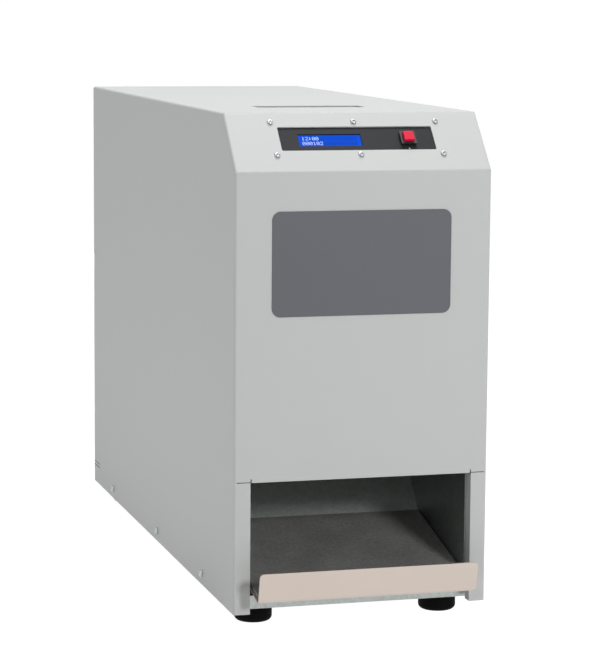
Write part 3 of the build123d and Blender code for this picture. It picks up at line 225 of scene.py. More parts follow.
@dataclass(frozen=True)
class Grained(Finish):
    """A surface with a fine grain, and a slow mottle under it."""

    grain_mm: float = 1.0
    relief_mm: float = 0.02
    shade: float = 0.02
    gloss: float = 0.03
    mottle_mm: float = 90.0
    mottle: float = 0.0
    streak: Optional[Along] = None
    streak_mm: float = 60.0

    def pattern(
        self, tree: bpy.types.NodeTree, shader: bpy.types.Node, place: bpy.types.NodeSocket
    ) -> None:
        """Mix the grain with the mottle; a streak draws the grain out along one axis."""
        scales = {axis: 1 / (self.grain_mm * MM) for axis in Along}
        if self.streak is not None:
            scales[self.streak] = 1 / (self.streak_mm * MM)
        drawn = add(
            tree,
            "ShaderNodeMapping",
            {"Scale": tuple(scales[axis] for axis in Along)},
            {"Vector": place},
        )
        grain = add(tree, "ShaderNodeTexNoise", {"Scale": 1.0, "Detail": 3.0}, {"Vector": drawn.outputs[0]})
        cloud = add(tree, "ShaderNodeTexNoise", {"Scale": 1 / (self.mottle_mm * MM)}, {"Vector": place})
        both = self.shade + self.mottle
        mixed = add(
            tree,
            "ShaderNodeMix",
            {"Factor": self.mottle / both if both else 0.0},
            {"A": grain.outputs["Fac"], "B": cloud.outputs["Fac"]},
        )
        self.vary(tree, shader, mixed.outputs["Result"], both, self.gloss)
        self.relief(tree, shader, grain.outputs["Fac"], self.relief_mm)


@dataclass(frozen=True)
class Spangled(Finish):
    """Zinc that froze in flat crystals, each with a brightness of its own."""

    crystal_mm: float = 9.0
    shade: float = 0.16
    gloss: float = 0.1

    def pattern(
        self, tree: bpy.types.NodeTree, shader: bpy.types.Node, place: bpy.types.NodeSocket
    ) -> None:
        """Give each crystal cell its own shade and gloss."""
        cells = add(tree, "ShaderNodeTexVoronoi", {"Scale": 1 / (self.crystal_mm * MM)}, {"Vector": place})
        grey = add(tree, "ShaderNodeRGBToBW", {}, {"Color": cells.outputs["Color"]})
        self.vary(tree, shader, grey.outputs["Val"], self.shade, self.gloss)


@dataclass(frozen=True)
class Banded(Finish):
    """Layers or turns that lie side by side at an even pitch."""

    pitch_mm: float = 2.0
    along: Along = Along.Z
    relief_mm: float = 0.2
    shade: float = 0.12

    def pattern(
        self, tree: bpy.types.NodeTree, shader: bpy.types.Node, place: bpy.types.NodeSocket
    ) -> None:
        """Draw one band for each layer."""
        full_turn = 2 * math.pi
        wave_scale = full_turn / (WAVE_RADIANS * self.pitch_mm * MM)
        bands = add(
            tree,
            "ShaderNodeTexWave",
            {"bands_direction": self.along.value, "Scale": wave_scale},
            {"Vector": place},
        )
        self.vary(tree, shader, bands.outputs["Fac"], self.shade, 0.0)
        self.relief(tree, shader, bands.outputs["Fac"], self.relief_mm)


@dataclass(frozen=True)
class Backlit(Finish):
    """A surface that is lit from behind and gives off its own colour."""

    glow: float = 0.6
    lamp: str = "#FFFFFF"
    cloud_mm: float = 40.0
    uneven: float = 0.08

    def pattern(
        self, tree: bpy.types.NodeTree, shader: bpy.types.Node, place: bpy.types.NodeSocket
    ) -> None:
        """Let the colour shine, a little unevenly, as a lamp at one end makes it."""
        shader.inputs["Emission Strength"].default_value = self.glow
        cloud = add(tree, "ShaderNodeTexNoise", {"Scale": 1 / (self.cloud_mm * MM)}, {"Vector": place})
        swing = add(
            tree,
            "ShaderNodeMapRange",
            {"To Min": 1 - self.uneven, "To Max": 1 + self.uneven},
            {"Value": cloud.outputs["Fac"]},
        )
        tint = add(
            tree,
            "ShaderNodeHueSaturation",
            {"Color": linear(self.lamp)},
            {"Value": swing.outputs["Result"]},
        )
        tree.links.new(tint.outputs["Color"], shader.inputs["Emission Color"])


# Polyester powder sprayed on folded steel and baked: an even satin grey with a fine orange peel. The peel's
# real grain of about 1 mm is drawn twice as coarse, so that it shows.
POWDER_COAT = Grained(
    "powder_coat_light_grey", "cover_paint", "#C4C6C5", 0.52, grain_mm=2.2, relief_mm=0.03, shade=0.008,
    gloss=0.03, mottle_mm=140.0, mottle=0.012,
)
# Hot-dip galvanised sheet: bluish zinc with a faint spangle, brighter crystal by crystal.
GALVANISED = Spangled(
    "hot_dip_zinc_on_steel", "galvanised_sheet", "#A9AEAC", 0.38, 1.0, crystal_mm=3.0, shade=0.14, gloss=0.03
)
# The same zinc, dulled by what slides over it so that it shows no clear reflection, and painted paler:
# painted light, standing in for the band of light that falls on the chute.
ZINC_PAINTED_PALER = Spangled(
    "zinc_on_steel_painted_paler", "stainless_sheet", "#B9BEBC", 0.56, 1.0, crystal_mm=3.0, shade=0.1, gloss=0.05
)
# Cold-rolled stainless sheet with its mill grain along the length: soft streaked reflections, slightly warm.
STAINLESS = Grained(
    "mill_stainless_sheet", "stainless_sheet", "#C4B9B0", 0.36, 1.0, grain_mm=1.2, relief_mm=0.004,
    shade=0.03, gloss=0.06, streak=Along.X, streak_mm=90.0, mottle_mm=55.0, mottle=0.06,
)
# Compression-moulded rubber: a dull deep black with a soft skin.
FOOT_RUBBER = Grained(
    "moulded_foot_rubber", "foot_rubber", "#040404", 0.8, ior=1.2, grain_mm=1.6, relief_mm=0.05, shade=0.12,
    gloss=0.08,
)
# Calendered nitrile mat with a fine cloth print: dark grey, dry, a little dusty. The print is drawn coarser
# than it is, so that it shows.
MAT_RUBBER = Grained(
    "calendered_mat_rubber", "mat_rubber", "#807F7E", 0.85, ior=1.4, grain_mm=2.6, relief_mm=0.12, shade=0.45,
    gloss=0.06, mottle_mm=45.0, mottle=0.3,
)
# Zinc-plated carbon steel: small bright heads with a slightly milky shine.
ZINC_STEEL = Grained(
    "zinc_plated_steel", "zinc_fasteners", "#A9AFB2", 0.3, 1.0, grain_mm=0.8, relief_mm=0.004, shade=0.06,
    gloss=0.05,
)
# Aluminium sheet with a matt black stoved lacquer: dark, even, with a fine dry grain.
PANEL_LACQUER = Grained(
    "matt_black_lacquer", "panel_black", "#1C1D20", 0.62, ior=1.33, grain_mm=1.4, relief_mm=0.03, shade=0.06,
    gloss=0.04,
)
# Injection-moulded ABS with a spark-eroded grain: soft black, wide dull highlights.
BLACK_ABS = Grained(
    "moulded_black_abs", "black_moulding", "#121214", 0.5, grain_mm=1.0, relief_mm=0.03, shade=0.08,
    gloss=0.05,
)
# Pressed steel with an olive chromate: the thin brownish rim round the display.
OLIVE_CHROMATE = Grained(
    "olive_chromated_steel", "black_moulding", "#5C553E", 0.4, 1.0, grain_mm=1.0, relief_mm=0.003, shade=0.08,
    gloss=0.05,
)
# Glossy moulded ABS: nearly black, with sharp small highlights.
GLOSS_ABS = Grained(
    "gloss_black_abs", "rocker_black", "#141415", 0.18, grain_mm=1.6, relief_mm=0.003, shade=0.05,
    gloss=0.03,
)
# Moulded red polycarbonate cap: clear colour under a polished skin.
RED_CAP = Grained(
    "polished_red_polycarbonate", "red_cap", "#E20A3C", 0.3, ior=1.33, grain_mm=3.0, relief_mm=0.003,
    shade=0.02, gloss=0.02,
)
# Display glass with an anti-glare film over a blue backlight: an even glow and hardly a reflection.
LCD_GLASS = Backlit("backlit_display_glass", "lcd_blue", "#030A1E", 0.3, ior=1.06, glow=0.95, lamp="#1457E4")
# Dark cells of the display, where a character can stand: the same glow, a shade deeper.
LCD_CELL = Backlit("display_character_cell", "lcd_blue", "#030A1E", 0.3, ior=1.06, glow=0.9, lamp="#1250D6")
# Lit dots of the display: pale blue, nearly white.
LCD_DOT = Backlit("display_lit_dot", "lcd_blue", "#8FA9D8", 0.4, ior=1.15, glow=0.7, lamp="#CFE0FF")
# Screen-printed polycarbonate film, matt, dark grey: flat colour with the film's fine tooth.
PRINTED_FILM = Grained(
    "printed_polycarbonate_film", "printed_film", "#606167", 0.55, ior=1.45, grain_mm=1.5, relief_mm=0.01,
    shade=0.015, gloss=0.03,
)
# Screen-printing ink: thin, white, slightly chalky.
WHITE_INK = Grained(
    "white_screen_ink", "panel_black", "#D4D4D2", 0.6, grain_mm=0.8, relief_mm=0.003, shade=0.02,
    gloss=0.02,
)
# Glass-epoxy board under a green solder mask: shiny green with rows of darker tracks.
SOLDER_MASK = Banded(
    "green_solder_mask", "circuit_board", "#1E6B38", 0.35, pitch_mm=2.54, along=Along.X, relief_mm=0.03,
    shade=0.2,
)
# Glass-cloth epoxy laminate: straw yellow, with the cloth showing as fine ribs.
GLASS_EPOXY = Banded(
    "glass_cloth_epoxy", "glass_epoxy", "#C9B77A", 0.45, pitch_mm=1.6, along=Along.X, relief_mm=0.02,
    shade=0.06,
)
# Enamelled copper wire wound in layers: a warm red-brown, ribbed by its turns.
WOUND_COPPER = Banded(
    "enamelled_copper_turns", "copper", "#B4633A", 0.3, 1.0, pitch_mm=3.2, along=Along.Z, relief_mm=0.6,
    shade=0.12,
)
# Drawn copper bar: bright where handled, browned elsewhere.
COPPER_BAR = Grained(
    "drawn_copper_bar", "copper", "#C27A50", 0.32, 1.0, grain_mm=1.5, relief_mm=0.004, shade=0.08, gloss=0.08,
    streak=Along.Y, streak_mm=50.0,
)
# Deep-drawn aluminium: grey-white with fine upright draw lines.
DRAWN_ALUMINIUM = Grained(
    "deep_drawn_aluminium", "can_aluminium", "#C6C8CA", 0.34, 1.0, grain_mm=1.0, relief_mm=0.004, shade=0.05,
    gloss=0.06, streak=Along.Z, streak_mm=80.0,
)
# Varnished electrical-steel laminations: dark brown-grey with the edges of the sheets showing.
LAMINATIONS = Banded(
    "varnished_laminations", "core_steel", "#6B645E", 0.4, 1.0, pitch_mm=1.5, along=Along.Y, relief_mm=0.08,
    shade=0.2,
)
# Bright-drawn steel: clean, with fine lines along the bar.
BRIGHT_STEEL = Grained(
    "bright_drawn_steel", "bright_steel", "#C3C3C3", 0.26, 1.0, grain_mm=0.9, relief_mm=0.003, shade=0.05,
    gloss=0.05, streak=Along.X, streak_mm=40.0,
)
# Sintered bronze: dull gold with open pores.
SINTERED_BRONZE = Grained(
    "sintered_bronze", "bearing_bronze", "#B08A4E", 0.45, 1.0, grain_mm=0.9, relief_mm=0.04, shade=0.12,
    gloss=0.08,
)
# Nickel-plated brass: pale yellowish shine.
NICKELLED_BRASS = Grained(
    "nickelled_brass", "pin_brass", "#CFC4A6", 0.25, 1.0, grain_mm=0.8, relief_mm=0.003, shade=0.04,
    gloss=0.04,
)
# Extruded rubber cable sheath: matt black with a faint talc bloom.
CABLE_SHEATH = Grained(
    "extruded_cable_sheath", "cable_black", "#161616", 0.6, grain_mm=1.5, relief_mm=0.03, shade=0.1,
    gloss=0.05,
)


def paint(piece: bpy.types.Object, finish: Finish) -> None:
    """Give a piece one finish all over.

    Args:
        piece: The piece.
        finish: What it is made of.
    """
    piece.data.materials.clear()
    piece.data.materials.append(finish.material())


def make_piece(
    name: str,
    mesh: bmesh.types.BMesh,
    finish: Finish,
    body: Body = Body.CABINET,
    stands_for: Sequence[str] = (),
) -> bpy.types.Object:
    """Turn a built mesh into a finished piece that rides on a body.

    Args:
        name: The piece's name.
        mesh: Its shape, in the model's frame. It is used up.
        finish: What it is made of.
        body: The body that it moves with.
        stands_for: Nodes of the model that it replaces.

    Returns:
        The new object.
    """
    bmesh.ops.remove_doubles(mesh, verts=mesh.verts, dist=MERGE)
    bmesh.ops.recalc_face_normals(mesh, faces=mesh.faces)
    for edge in mesh.edges:
        edge.smooth = edge.is_manifold and edge.calc_face_angle() < SMOOTH_BELOW
    for face in mesh.faces:
        face.smooth = True
    data = bpy.data.meshes.new(name)
    mesh.to_mesh(data)
    mesh.free()
    piece = bpy.data.objects.new(name, data)
    bpy.context.scene.collection.objects.link(piece)
    paint(piece, finish)
    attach(piece, body.value)
    if stands_for:
        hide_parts(*stands_for)
    log.info("made %s on %s", name, body.value)
    return piece


def rounded_outline(width: float, height: float, corner: float, steps: int = 8) -> list[Vector]:
    """Corner points of a rounded rectangle about the origin, anticlockwise.

    Args:
        width: Size along X.
        height: Size along Y.
        corner: Radius of the corners.
        steps: Spans in each corner's arc.

    Returns:
        Points in the XY plane.
    """
    middles = [(1, 1), (-1, 1), (-1, -1), (1, -1)]
    points = []
    for quarter, (x_sign, y_sign) in enumerate(middles):
        middle = Vector((x_sign * (width / 2 - corner), y_sign * (height / 2 - corner), 0))
        for step in range(steps + 1):
            turn = math.pi / 2 * (quarter + step / steps)
            points.append(middle + corner * Vector((math.cos(turn), math.sin(turn), 0)))
    return points


def circle(radius: float, sides: int) -> list[Vector]:
    """Points of a circle in the XY plane.

    Args:
        radius: Its radius.
        sides: How many points it has.

    Returns:
        The points, anticlockwise.
    """
    turns = [2 * math.pi * side / sides for side in range(sides)]
    return [Vector((radius * math.cos(turn), radius * math.sin(turn), 0)) for turn in turns]


def loft(
    mesh: bmesh.types.BMesh, rings: Sequence[Sequence[Vector]], place: Matrix, closed: bool = False
) -> None:
    """Skin rings of equally many points, one after the other.

    Args:
        mesh: The mesh that gets the skin.
        rings: The rings in order.
        place: Where the rings' own frame stands.
        closed: The last ring meets the first; otherwise both ends are capped.
    """
    rows = [[mesh.verts.new(place @ point) for point in ring] for ring in rings]
    pairs = list(zip(rows, rows[1:] + rows[:1])) if closed else list(zip(rows, rows[1:]))
    for low, high in pairs:
        for here in range(len(low)):
            there = (here + 1) % len(low)
            mesh.faces.new((low[here], low[there], high[there], high[here]))
    if not closed:
        mesh.faces.new(rows[0])
        mesh.faces.new(rows[-1])


def lifted(points: Sequence[Vector], height: float) -> list[Vector]:
    """Copy points of the XY plane to a height.

    Args:
        points: The points.
        height: How far they are raised.

    Returns:
        The raised points.
    """
    return [point + Vector((0, 0, height)) for point in points]


def tube(
    mesh: bmesh.types.BMesh, path: Sequence[Vector], radius: float, closed: bool = False, sides: int = 10
) -> None:
    """Run a round wire along a path.

    Args:
        mesh: The mesh that gets the wire.
        path: Points along the wire's middle.
        radius: The wire's radius.
        closed: The path ends where it starts.
        sides: Sides of the wire's section.
    """
    count = len(path)
    rings = []
    side = None
    for index, point in enumerate(path):
        before = path[index - 1] if closed or index else point
        after = path[(index + 1) % count] if closed or index < count - 1 else point
        heading = (after - before).normalized()
        if side is None:
            side = heading.orthogonal().normalized()
        side = (side - heading * side.dot(heading)).normalized()
        across = heading.cross(side)
        rings.append([point + side * p.x + across * p.y for p in circle(radius, sides)])
    loft(mesh, rings, Matrix.Identity(4), closed)


def plate(mesh: bmesh.types.BMesh, place: Matrix, size: tuple[float, float, float], corner: float) -> None:
    """Lay a thin rounded plate with broken edges on a plane.

    Args:
        mesh: The mesh that gets the plate.
        place: The frame whose XY plane the plate lies on.
        size: Width, height and thickness.
        corner: Radius of its corners.
    """
    width, height, thickness = size
    edge = thickness / 3
    rim = rounded_outline(width, height, corner)
    face = rounded_outline(width - 2 * edge, height - 2 * edge, corner - edge)
    loft(mesh, [rim, lifted(rim, thickness - edge), lifted(face, thickness)], place)


def axes(origin: Vector, right: Vector, up: Vector) -> Matrix:
    """A frame with X to the right, Y up and Z out of the surface.

    Args:
        origin: Its origin.
        right: Direction of its X axis.
        up: Direction of its Y axis.

    Returns:
        The matrix from that frame to the model's.
    """
    columns = (right.normalized(), up.normalized(), right.cross(up).normalized())
    turn = Matrix(columns).transposed().to_4x4()
    return Matrix.Translation(origin) @ turn


def loose_parts(node: str) -> list[list[Vector]]:
    """Corner points of each separate solid of a node.

    Args:
        node: The node's name.

    Returns:
        One list of points for each solid.
    """
    mesh = bmesh.new()
    mesh.from_mesh(frame["nodes"][node].data)
    bmesh.ops.remove_doubles(mesh, verts=mesh.verts, dist=MERGE)
    waiting = set(mesh.verts)
    parts = []
    while waiting:
        start = waiting.pop()
        found, queue = [start], [start]
        while queue:
            for edge in queue.pop().link_edges:
                for corner in edge.verts:
                    if corner in waiting:
                        waiting.remove(corner)
                        found.append(corner)
                        queue.append(corner)
        parts.append([corner.co.copy() for corner in found])
    mesh.free()
    return parts


@dataclass
class CrossScrew:
    """A pan-head screw with a cross recess, shaped on a screw of the model."""

    crown: float = 0.6
    recess_reach: float = 0.62
    recess_width: float = 0.24
    recess_depth: float = 0.55
    recess_over: float = 1.05
    sides: int = 24
    crown_steps: int = 5

    def shape(self, head: float, height: float, shank: float, length: float) -> bpy.types.Mesh:
        """Build one screw with its seat at the origin and its head along +Z.

        Args:
            head: Radius of the head.
            height: Height of the head.
            shank: Radius of the shank.
            length: Length of the shank.

        Returns:
            The mesh, with the cross cut out of the head.
        """
        body = bmesh.new()
        fall = self.crown * height
        arc = [math.pi / 2 * step / self.crown_steps for step in range(self.crown_steps + 1)]
        rim = [(head - fall + fall * math.cos(a), height - fall + fall * math.sin(a)) for a in arc]
        profile = [(shank, -length), (shank, 0.0), (head, 0.0), *rim]
        loft(body, [lifted(circle(r, self.sides), z) for r, z in profile], Matrix.Identity(4))
        cutter = bmesh.new()
        reach, width = 2 * self.recess_reach * head, 2 * self.recess_width * head
        for turn in (0.0, math.pi / 2):
            arm = Matrix.Rotation(turn, 4, "Z")
            wide = rounded_outline(reach, width, width / 4, 2)
            narrow = rounded_outline(reach / 2, width / 2, width / 8, 2)
            floor = height * (1 - self.recess_depth)
            loft(cutter, [lifted(narrow, floor), lifted(wide, height * self.recess_over)], arm)
        return cut(body, cutter)

    def replace(self, node: str, outward: Optional[Vector] = None) -> None:
        """Put a screw in the place of each screw of a node.

        Args:
            node: The node of screws.
            outward: Direction that the heads face; without it, away from the middle plane of the machine.
        """
        mesh = bmesh.new()
        for points in loose_parts(node):
            middle = sum(points, Vector()) / len(points)
            facing = outward or Vector((math.copysign(1, middle.x), 0, 0))
            side = facing.orthogonal().normalized()
            heights = [point.dot(facing) for point in points]
            rims = [(point - facing * point.dot(facing)) for point in points]
            axis = sum(rims, Vector()) / len(rims)
            spans = [(rim - axis).length for rim in rims]
            head = max(spans)
            top = max(heights)
            seat = min(h for h, s in zip(heights, spans) if s > head - RIM_TOLERANCE)
            shank = min(s for s in spans if s > MERGE)
            screw = self.shape(head, top - seat, shank, seat - min(heights))
            place = axes(axis + facing * seat, side, facing.cross(side))
            screw.transform(place)
            mesh.from_mesh(screw)
            bpy.data.meshes.remove(screw)
        make_piece(f"{node}_cross_head", mesh, ZINC_STEEL, stands_for=[node])


def cut(body: bmesh.types.BMesh, cutter: bmesh.types.BMesh) -> bpy.types.Mesh:
    """Cut one mesh out of another.

    Args:
        body: The mesh that is cut. It is used up.
        cutter: The mesh that is taken away. It is used up.

    Returns:
        What is left of the body.
    """
    objects = []
    for name, mesh in (("cut_body", body), ("cut_tool", cutter)):
        bmesh.ops.recalc_face_normals(mesh, faces=mesh.faces)
        data = bpy.data.meshes.new(name)
        mesh.to_mesh(data)
        mesh.free()
        made = bpy.data.objects.new(name, data)
        bpy.context.scene.collection.objects.link(made)
        objects.append(made)
    blank, tool = objects
    step = blank.modifiers.new("cut", "BOOLEAN")
    step.object = tool
    step.use_self = True
    view = bpy.context.evaluated_depsgraph_get()
    left = bpy.data.meshes.new_from_object(blank.evaluated_get(view))
    for made in objects:
        data = made.data
        bpy.data.objects.remove(made)
        bpy.data.meshes.remove(data)
    return left


class SubAssembly:
    """A group of pieces that are dressed together."""

    dress_code: dict[str, Finish] = {}

    def dress(self) -> None:
        """Give each node of the group its finish."""
        for node, finish in self.dress_code.items():
            paint(frame["nodes"][node], finish)

    def build(self) -> None:
        """Add the pieces that the model leaves to the looks; most groups add none."""


@dataclass
class Cabinet(SubAssembly):
    """Painted cover, galvanised pan, feet and the bare plate on the front."""

    dress_code: dict[str, Finish] = field(default_factory=lambda: {
        "outer_cover": POWDER_COAT,
        "front_plate": PRINTED_FILM,
        "base_pan": GALVANISED,
        "foot_front_left": FOOT_RUBBER,
        "foot_front_right": FOOT_RUBBER,
        "foot_rear_left": FOOT_RUBBER,
        "foot_rear_right": FOOT_RUBBER,
        "foot_screws": ZINC_STEEL,
        "cover_screws": ZINC_STEEL,
    })

    def build(self) -> None:
        """Cut the crosses of the cover's and the feet's screws."""
        CrossScrew().replace("cover_screws")
        CrossScrew().replace("foot_screws", Vector((0, 0, -1)))


@dataclass
class ExitBay(SubAssembly):
    """Walls, roof, ramp, mat and chute of the exit bay."""

    dress_code: dict[str, Finish] = field(default_factory=lambda: {
        "bay_wall_left": GALVANISED,
        "bay_wall_right": GALVANISED,
        "bay_roof": GALVANISED,
        "ramp_rails": GALVANISED,
        "exit_ramp": STAINLESS,
        # The chute's zinc is painted paler than the walls' zinc, as painted light for the band of light on
        # it.
        "chute_plate": ZINC_PAINTED_PALER,
        "ramp_mat": MAT_RUBBER,
    })


class Glyph(Enum):
    """Dot patterns of the plain numerals that the display shows, row by row."""

    ZERO = ("01110", "10001", "10011", "10101", "11001", "10001", "01110")
    ONE = ("00100", "01100", "00100", "00100", "00100", "00100", "01110")
    TWO = ("01110", "10001", "00001", "00010", "00100", "01000", "11111")
    COLON = ("00000", "01100", "01100", "00000", "01100", "01100", "00000")
    BLANK = ("00000",) * 7


@dataclass
class ControlPanel(SubAssembly):
    """Sloped panel with its display, start button and small screws."""

    slope_run: float = 51.3 * MM
    slope_rise: float = 54.5 * MM
    panel_depth: float = 1.5 * MM
    glass_depth: float = 3.2 * MM
    display_x: float = -27.4 * MM
    display_s: float = 40.5 * MM
    columns: int = 16
    cell_dots: tuple[int, int] = (5, 8)
    column_pitch: float = 3.55 * MM
    row_pitch: float = 6.1 * MM
    dot_pitch: float = 0.6 * MM
    dot: float = 0.52 * MM
    cell_margin: float = 0.25 * MM
    film: float = 0.04 * MM
    mark_x: float = 51.7 * MM
    mark_s: float = 29.0 * MM
    mark: float = 1.3 * MM
    readings: tuple[tuple[Glyph, ...], ...] = (
        (Glyph.ONE, Glyph.TWO, Glyph.COLON, Glyph.ZERO, Glyph.ZERO),
        (Glyph.ZERO, Glyph.ZERO, Glyph.ZERO, Glyph.ONE, Glyph.ZERO, Glyph.TWO),
    )
    dress_code: dict[str, Finish] = field(default_factory=lambda: {
        "control_panel": PANEL_LACQUER,
        "panel_screws": ZINC_STEEL,
        "lcd_bezel": OLIVE_CHROMATE,
        "lcd_glass": LCD_GLASS,
        "lcd_board": SOLDER_MASK,
        "lcd_posts": ZINC_STEEL,
        "start_switch": BLACK_ABS,
        "start_button": RED_CAP,
        "control_board": SOLDER_MASK,
        "board_standoffs": ZINC_STEEL,
    })

    def slope(self, x: float, s: float, depth: float) -> Matrix:
        """A frame on the slope.

        Args:
            x: Place across the slope.
            s: Place up the slope from the fold.
            depth: Distance below the painted face.

        Returns:
            The frame, with Z out of the slope.
        """
        low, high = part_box("outer_cover")
        right = Vector((1, 0, 0))
        up = Vector((0, self.slope_run, self.slope_rise)).normalized()
        fold = Vector((0, low.y, high.z - self.slope_rise))
        return axes(fold + right * x + up * s - right.cross(up) * depth, right, up)

    def tile(self, mesh: bmesh.types.BMesh, place: Matrix, middle: Vector, size: tuple[float, float]) -> None:
        """Lay a thin square tile on the display.

        Args:
            mesh: The mesh that gets the tile.
            place: The display's frame.
            middle: The tile's middle.
            size: Its width and height.
        """
        half = Vector((size[0] / 2, size[1] / 2, 0))
        corners = [Vector((sx * half.x, sy * half.y, 0)) for sx, sy in ((-1, -1), (1, -1), (1, 1), (-1, 1))]
        rim = [middle + corner for corner in corners]
        loft(mesh, [rim, lifted(rim, self.film)], place)

    def build(self) -> None:
        """Lay the display's cells and dots, print the start mark and cut the screws."""
        face = self.slope(self.display_x, self.display_s, self.glass_depth)
        lit_face = self.slope(self.display_x, self.display_s, self.glass_depth - self.film)
        wide, tall = (count * self.dot_pitch for count in self.cell_dots)
        cells, dots = bmesh.new(), bmesh.new()
        for row, reading in enumerate(self.readings):
            line = list(reading) + [Glyph.BLANK] * (self.columns - len(reading))
            for column, glyph in enumerate(line):
                middle = Vector((
                    (column - (self.columns - 1) / 2) * self.column_pitch, (0.5 - row) * self.row_pitch, 0
                ))
                self.tile(cells, face, middle, (wide + self.cell_margin, tall + self.cell_margin))
                corner = middle + Vector((self.dot_pitch - wide, tall - self.dot_pitch, 0)) / 2
                for down, pattern in enumerate(glyph.value):
                    for across, state in enumerate(pattern):
                        if state == "1":
                            spot = corner + Vector((across, -down, 0)) * self.dot_pitch
                            self.tile(dots, lit_face, spot, (self.dot, self.dot))
        make_piece("display_cells", cells, LCD_CELL)
        make_piece("display_dots", dots, LCD_DOT)
        mark = bmesh.new()
        triangle = [point * self.mark for point in circle(1.0, 3)]
        ink = self.slope(self.mark_x, self.mark_s, self.panel_depth)
        loft(mark, [triangle, lifted(triangle, self.film)], ink)
        make_piece("start_mark", mark, WHITE_INK)
        CrossScrew().replace("panel_screws", Vector((0, -self.slope_rise, self.slope_run)).normalized())


@dataclass
class CoilUnit(SubAssembly):
    """Feed throat, pulse coil and drop gate."""

    dress_code: dict[str, Finish] = field(default_factory=lambda: {
        "feed_throat": BLACK_ABS,
        "coil_former": GLASS_EPOXY,
        "coil_bottom_plate": GLASS_EPOXY,
        "coil_top_plate": GLASS_EPOXY,
        "coil_winding": WOUND_COPPER,
        "coil_tie_rods": ZINC_STEEL,
        "drop_gate": STAINLESS,
        "gate_shaft": BRIGHT_STEEL,
        "gate_bearings": SINTERED_BRONZE,
        "gate_motor_bracket": GALVANISED,
        "gate_motor": BRIGHT_STEEL,
    })


@dataclass
class PulseSupply(SubAssembly):
    """Capacitor bank, charging supply and heavy leads."""

    dress_code: dict[str, Finish] = field(default_factory=lambda: {
        "capacitor_1": DRAWN_ALUMINIUM,
        "capacitor_2": DRAWN_ALUMINIUM,
        "capacitor_3": DRAWN_ALUMINIUM,
        "capacitor_4": DRAWN_ALUMINIUM,
        "capacitor_bracket": GALVANISED,
        "bus_bars": COPPER_BAR,
        "terminal_bolts": ZINC_STEEL,
        "transformer_core": LAMINATIONS,
        "transformer_winding": WOUND_COPPER,
        "electronics_bridge": GALVANISED,
        "charger_board": SOLDER_MASK,
        "heat_sink": DRAWN_ALUMINIUM,
        "thyristor_module": BLACK_ABS,
        "coil_leads": CABLE_SHEATH,
    })


@dataclass
class RearPanel(SubAssembly):
    """Rear panel with its mains inlet, switch and fan."""

    rings: tuple[float, ...] = (20.0 * MM, 32.0 * MM, 44.0 * MM, 56.0 * MM)
    wire: float = 1.0 * MM
    eye: float = 4.4 * MM
    screw_span: float = 105.0 * MM
    ring_sides: int = 64
    small_ring_sides: int = 24
    rocker_tilt: float = math.radians(8.0)
    rocker_face: float = 6.05 * MM
    rocker_mark: float = 5.2 * MM
    face_lean: float = math.atan2(2.0, 10.4)
    bar: tuple[float, float] = (0.9 * MM, 4.2 * MM)
    ring: float = 1.9 * MM
    ink: float = 0.06 * MM
    dress_code: dict[str, Finish] = field(default_factory=lambda: {
        "rear_panel": POWDER_COAT,
        "rear_screws": ZINC_STEEL,
        "power_inlet": BLACK_ABS,
        "inlet_pins": NICKELLED_BRASS,
        "switch_frame": BLACK_ABS,
        "power_rocker": GLOSS_ABS,
        "fan_frame": BLACK_ABS,
        "fan_rotor": BLACK_ABS,
        "fan_guard": BRIGHT_STEEL,
    })

    def build(self) -> None:
        """Bend the fan guard's wires, print the rocker and cut the screws."""
        self.guard()
        self.marks()
        CrossScrew().replace("rear_screws", Vector((0, 1, 0)))

    def guard(self) -> None:
        """Weld the fan guard from round wire: rings, four arms and their eyes."""
        low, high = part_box("fan_guard")
        middle = Vector(((low.x + high.x) / 2, high.y - self.wire, (low.z + high.z) / 2))
        seat = low.y + self.wire
        mesh = bmesh.new()
        for radius in self.rings:
            path = [middle + Vector((p.x, 0, p.y)) for p in circle(radius, self.ring_sides)]
            tube(mesh, path, self.wire, closed=True)
        for quarter in range(4):
            turn = math.pi / 4 + quarter * math.pi / 2
            out = Vector((math.cos(turn), 0, math.sin(turn)))
            reach = self.screw_span / math.sqrt(2)
            behind = Vector((0, 2 * self.wire, 0))
            level = middle - behind
            knee = level + out * (reach - self.eye)
            foot = Vector((knee.x, seat, knee.z))
            tube(mesh, [level + out * self.rings[0], knee, foot], self.wire)
            centre = Vector((middle.x, seat, middle.z)) + out * reach
            path = [centre + Vector((p.x, 0, p.y)) for p in circle(self.eye, self.small_ring_sides)]
            tube(mesh, path, self.wire, closed=True)
        make_piece("fan_guard_wire", mesh, BRIGHT_STEEL, stands_for=["fan_guard"])

    def marks(self) -> None:
        """Print a bar and a ring on the two faces of the mains rocker."""
        joint = next(j for j in frame["joints"] if j["name"] == "rocker_tilt")
        origin = Vector(joint["pos_m"])
        mesh = bmesh.new()
        for sign in (1, -1):
            lean = self.rocker_tilt - sign * self.face_lean
            out = Vector((0, math.cos(self.rocker_tilt), math.sin(self.rocker_tilt)))
            up = Vector((0, -math.sin(self.rocker_tilt), math.cos(self.rocker_tilt)))
            normal = Vector((0, math.cos(lean), math.sin(lean)))
            along = normal.cross(Vector((-1, 0, 0)))
            spot = origin + out * self.rocker_face + up * sign * self.rocker_mark
            place = axes(spot, Vector((-1, 0, 0)), along)
            if sign > 0:
                plate(mesh, place, (*self.bar, self.ink), self.bar[0] / 3)
            else:
                flat = lifted(circle(self.ring, self.small_ring_sides), self.ink / 2)
                rim = [place @ point for point in flat]
                tube(mesh, rim, self.bar[0] / 2, closed=True)
        make_piece("rocker_marks", mesh, WHITE_INK, Body.ROCKER)


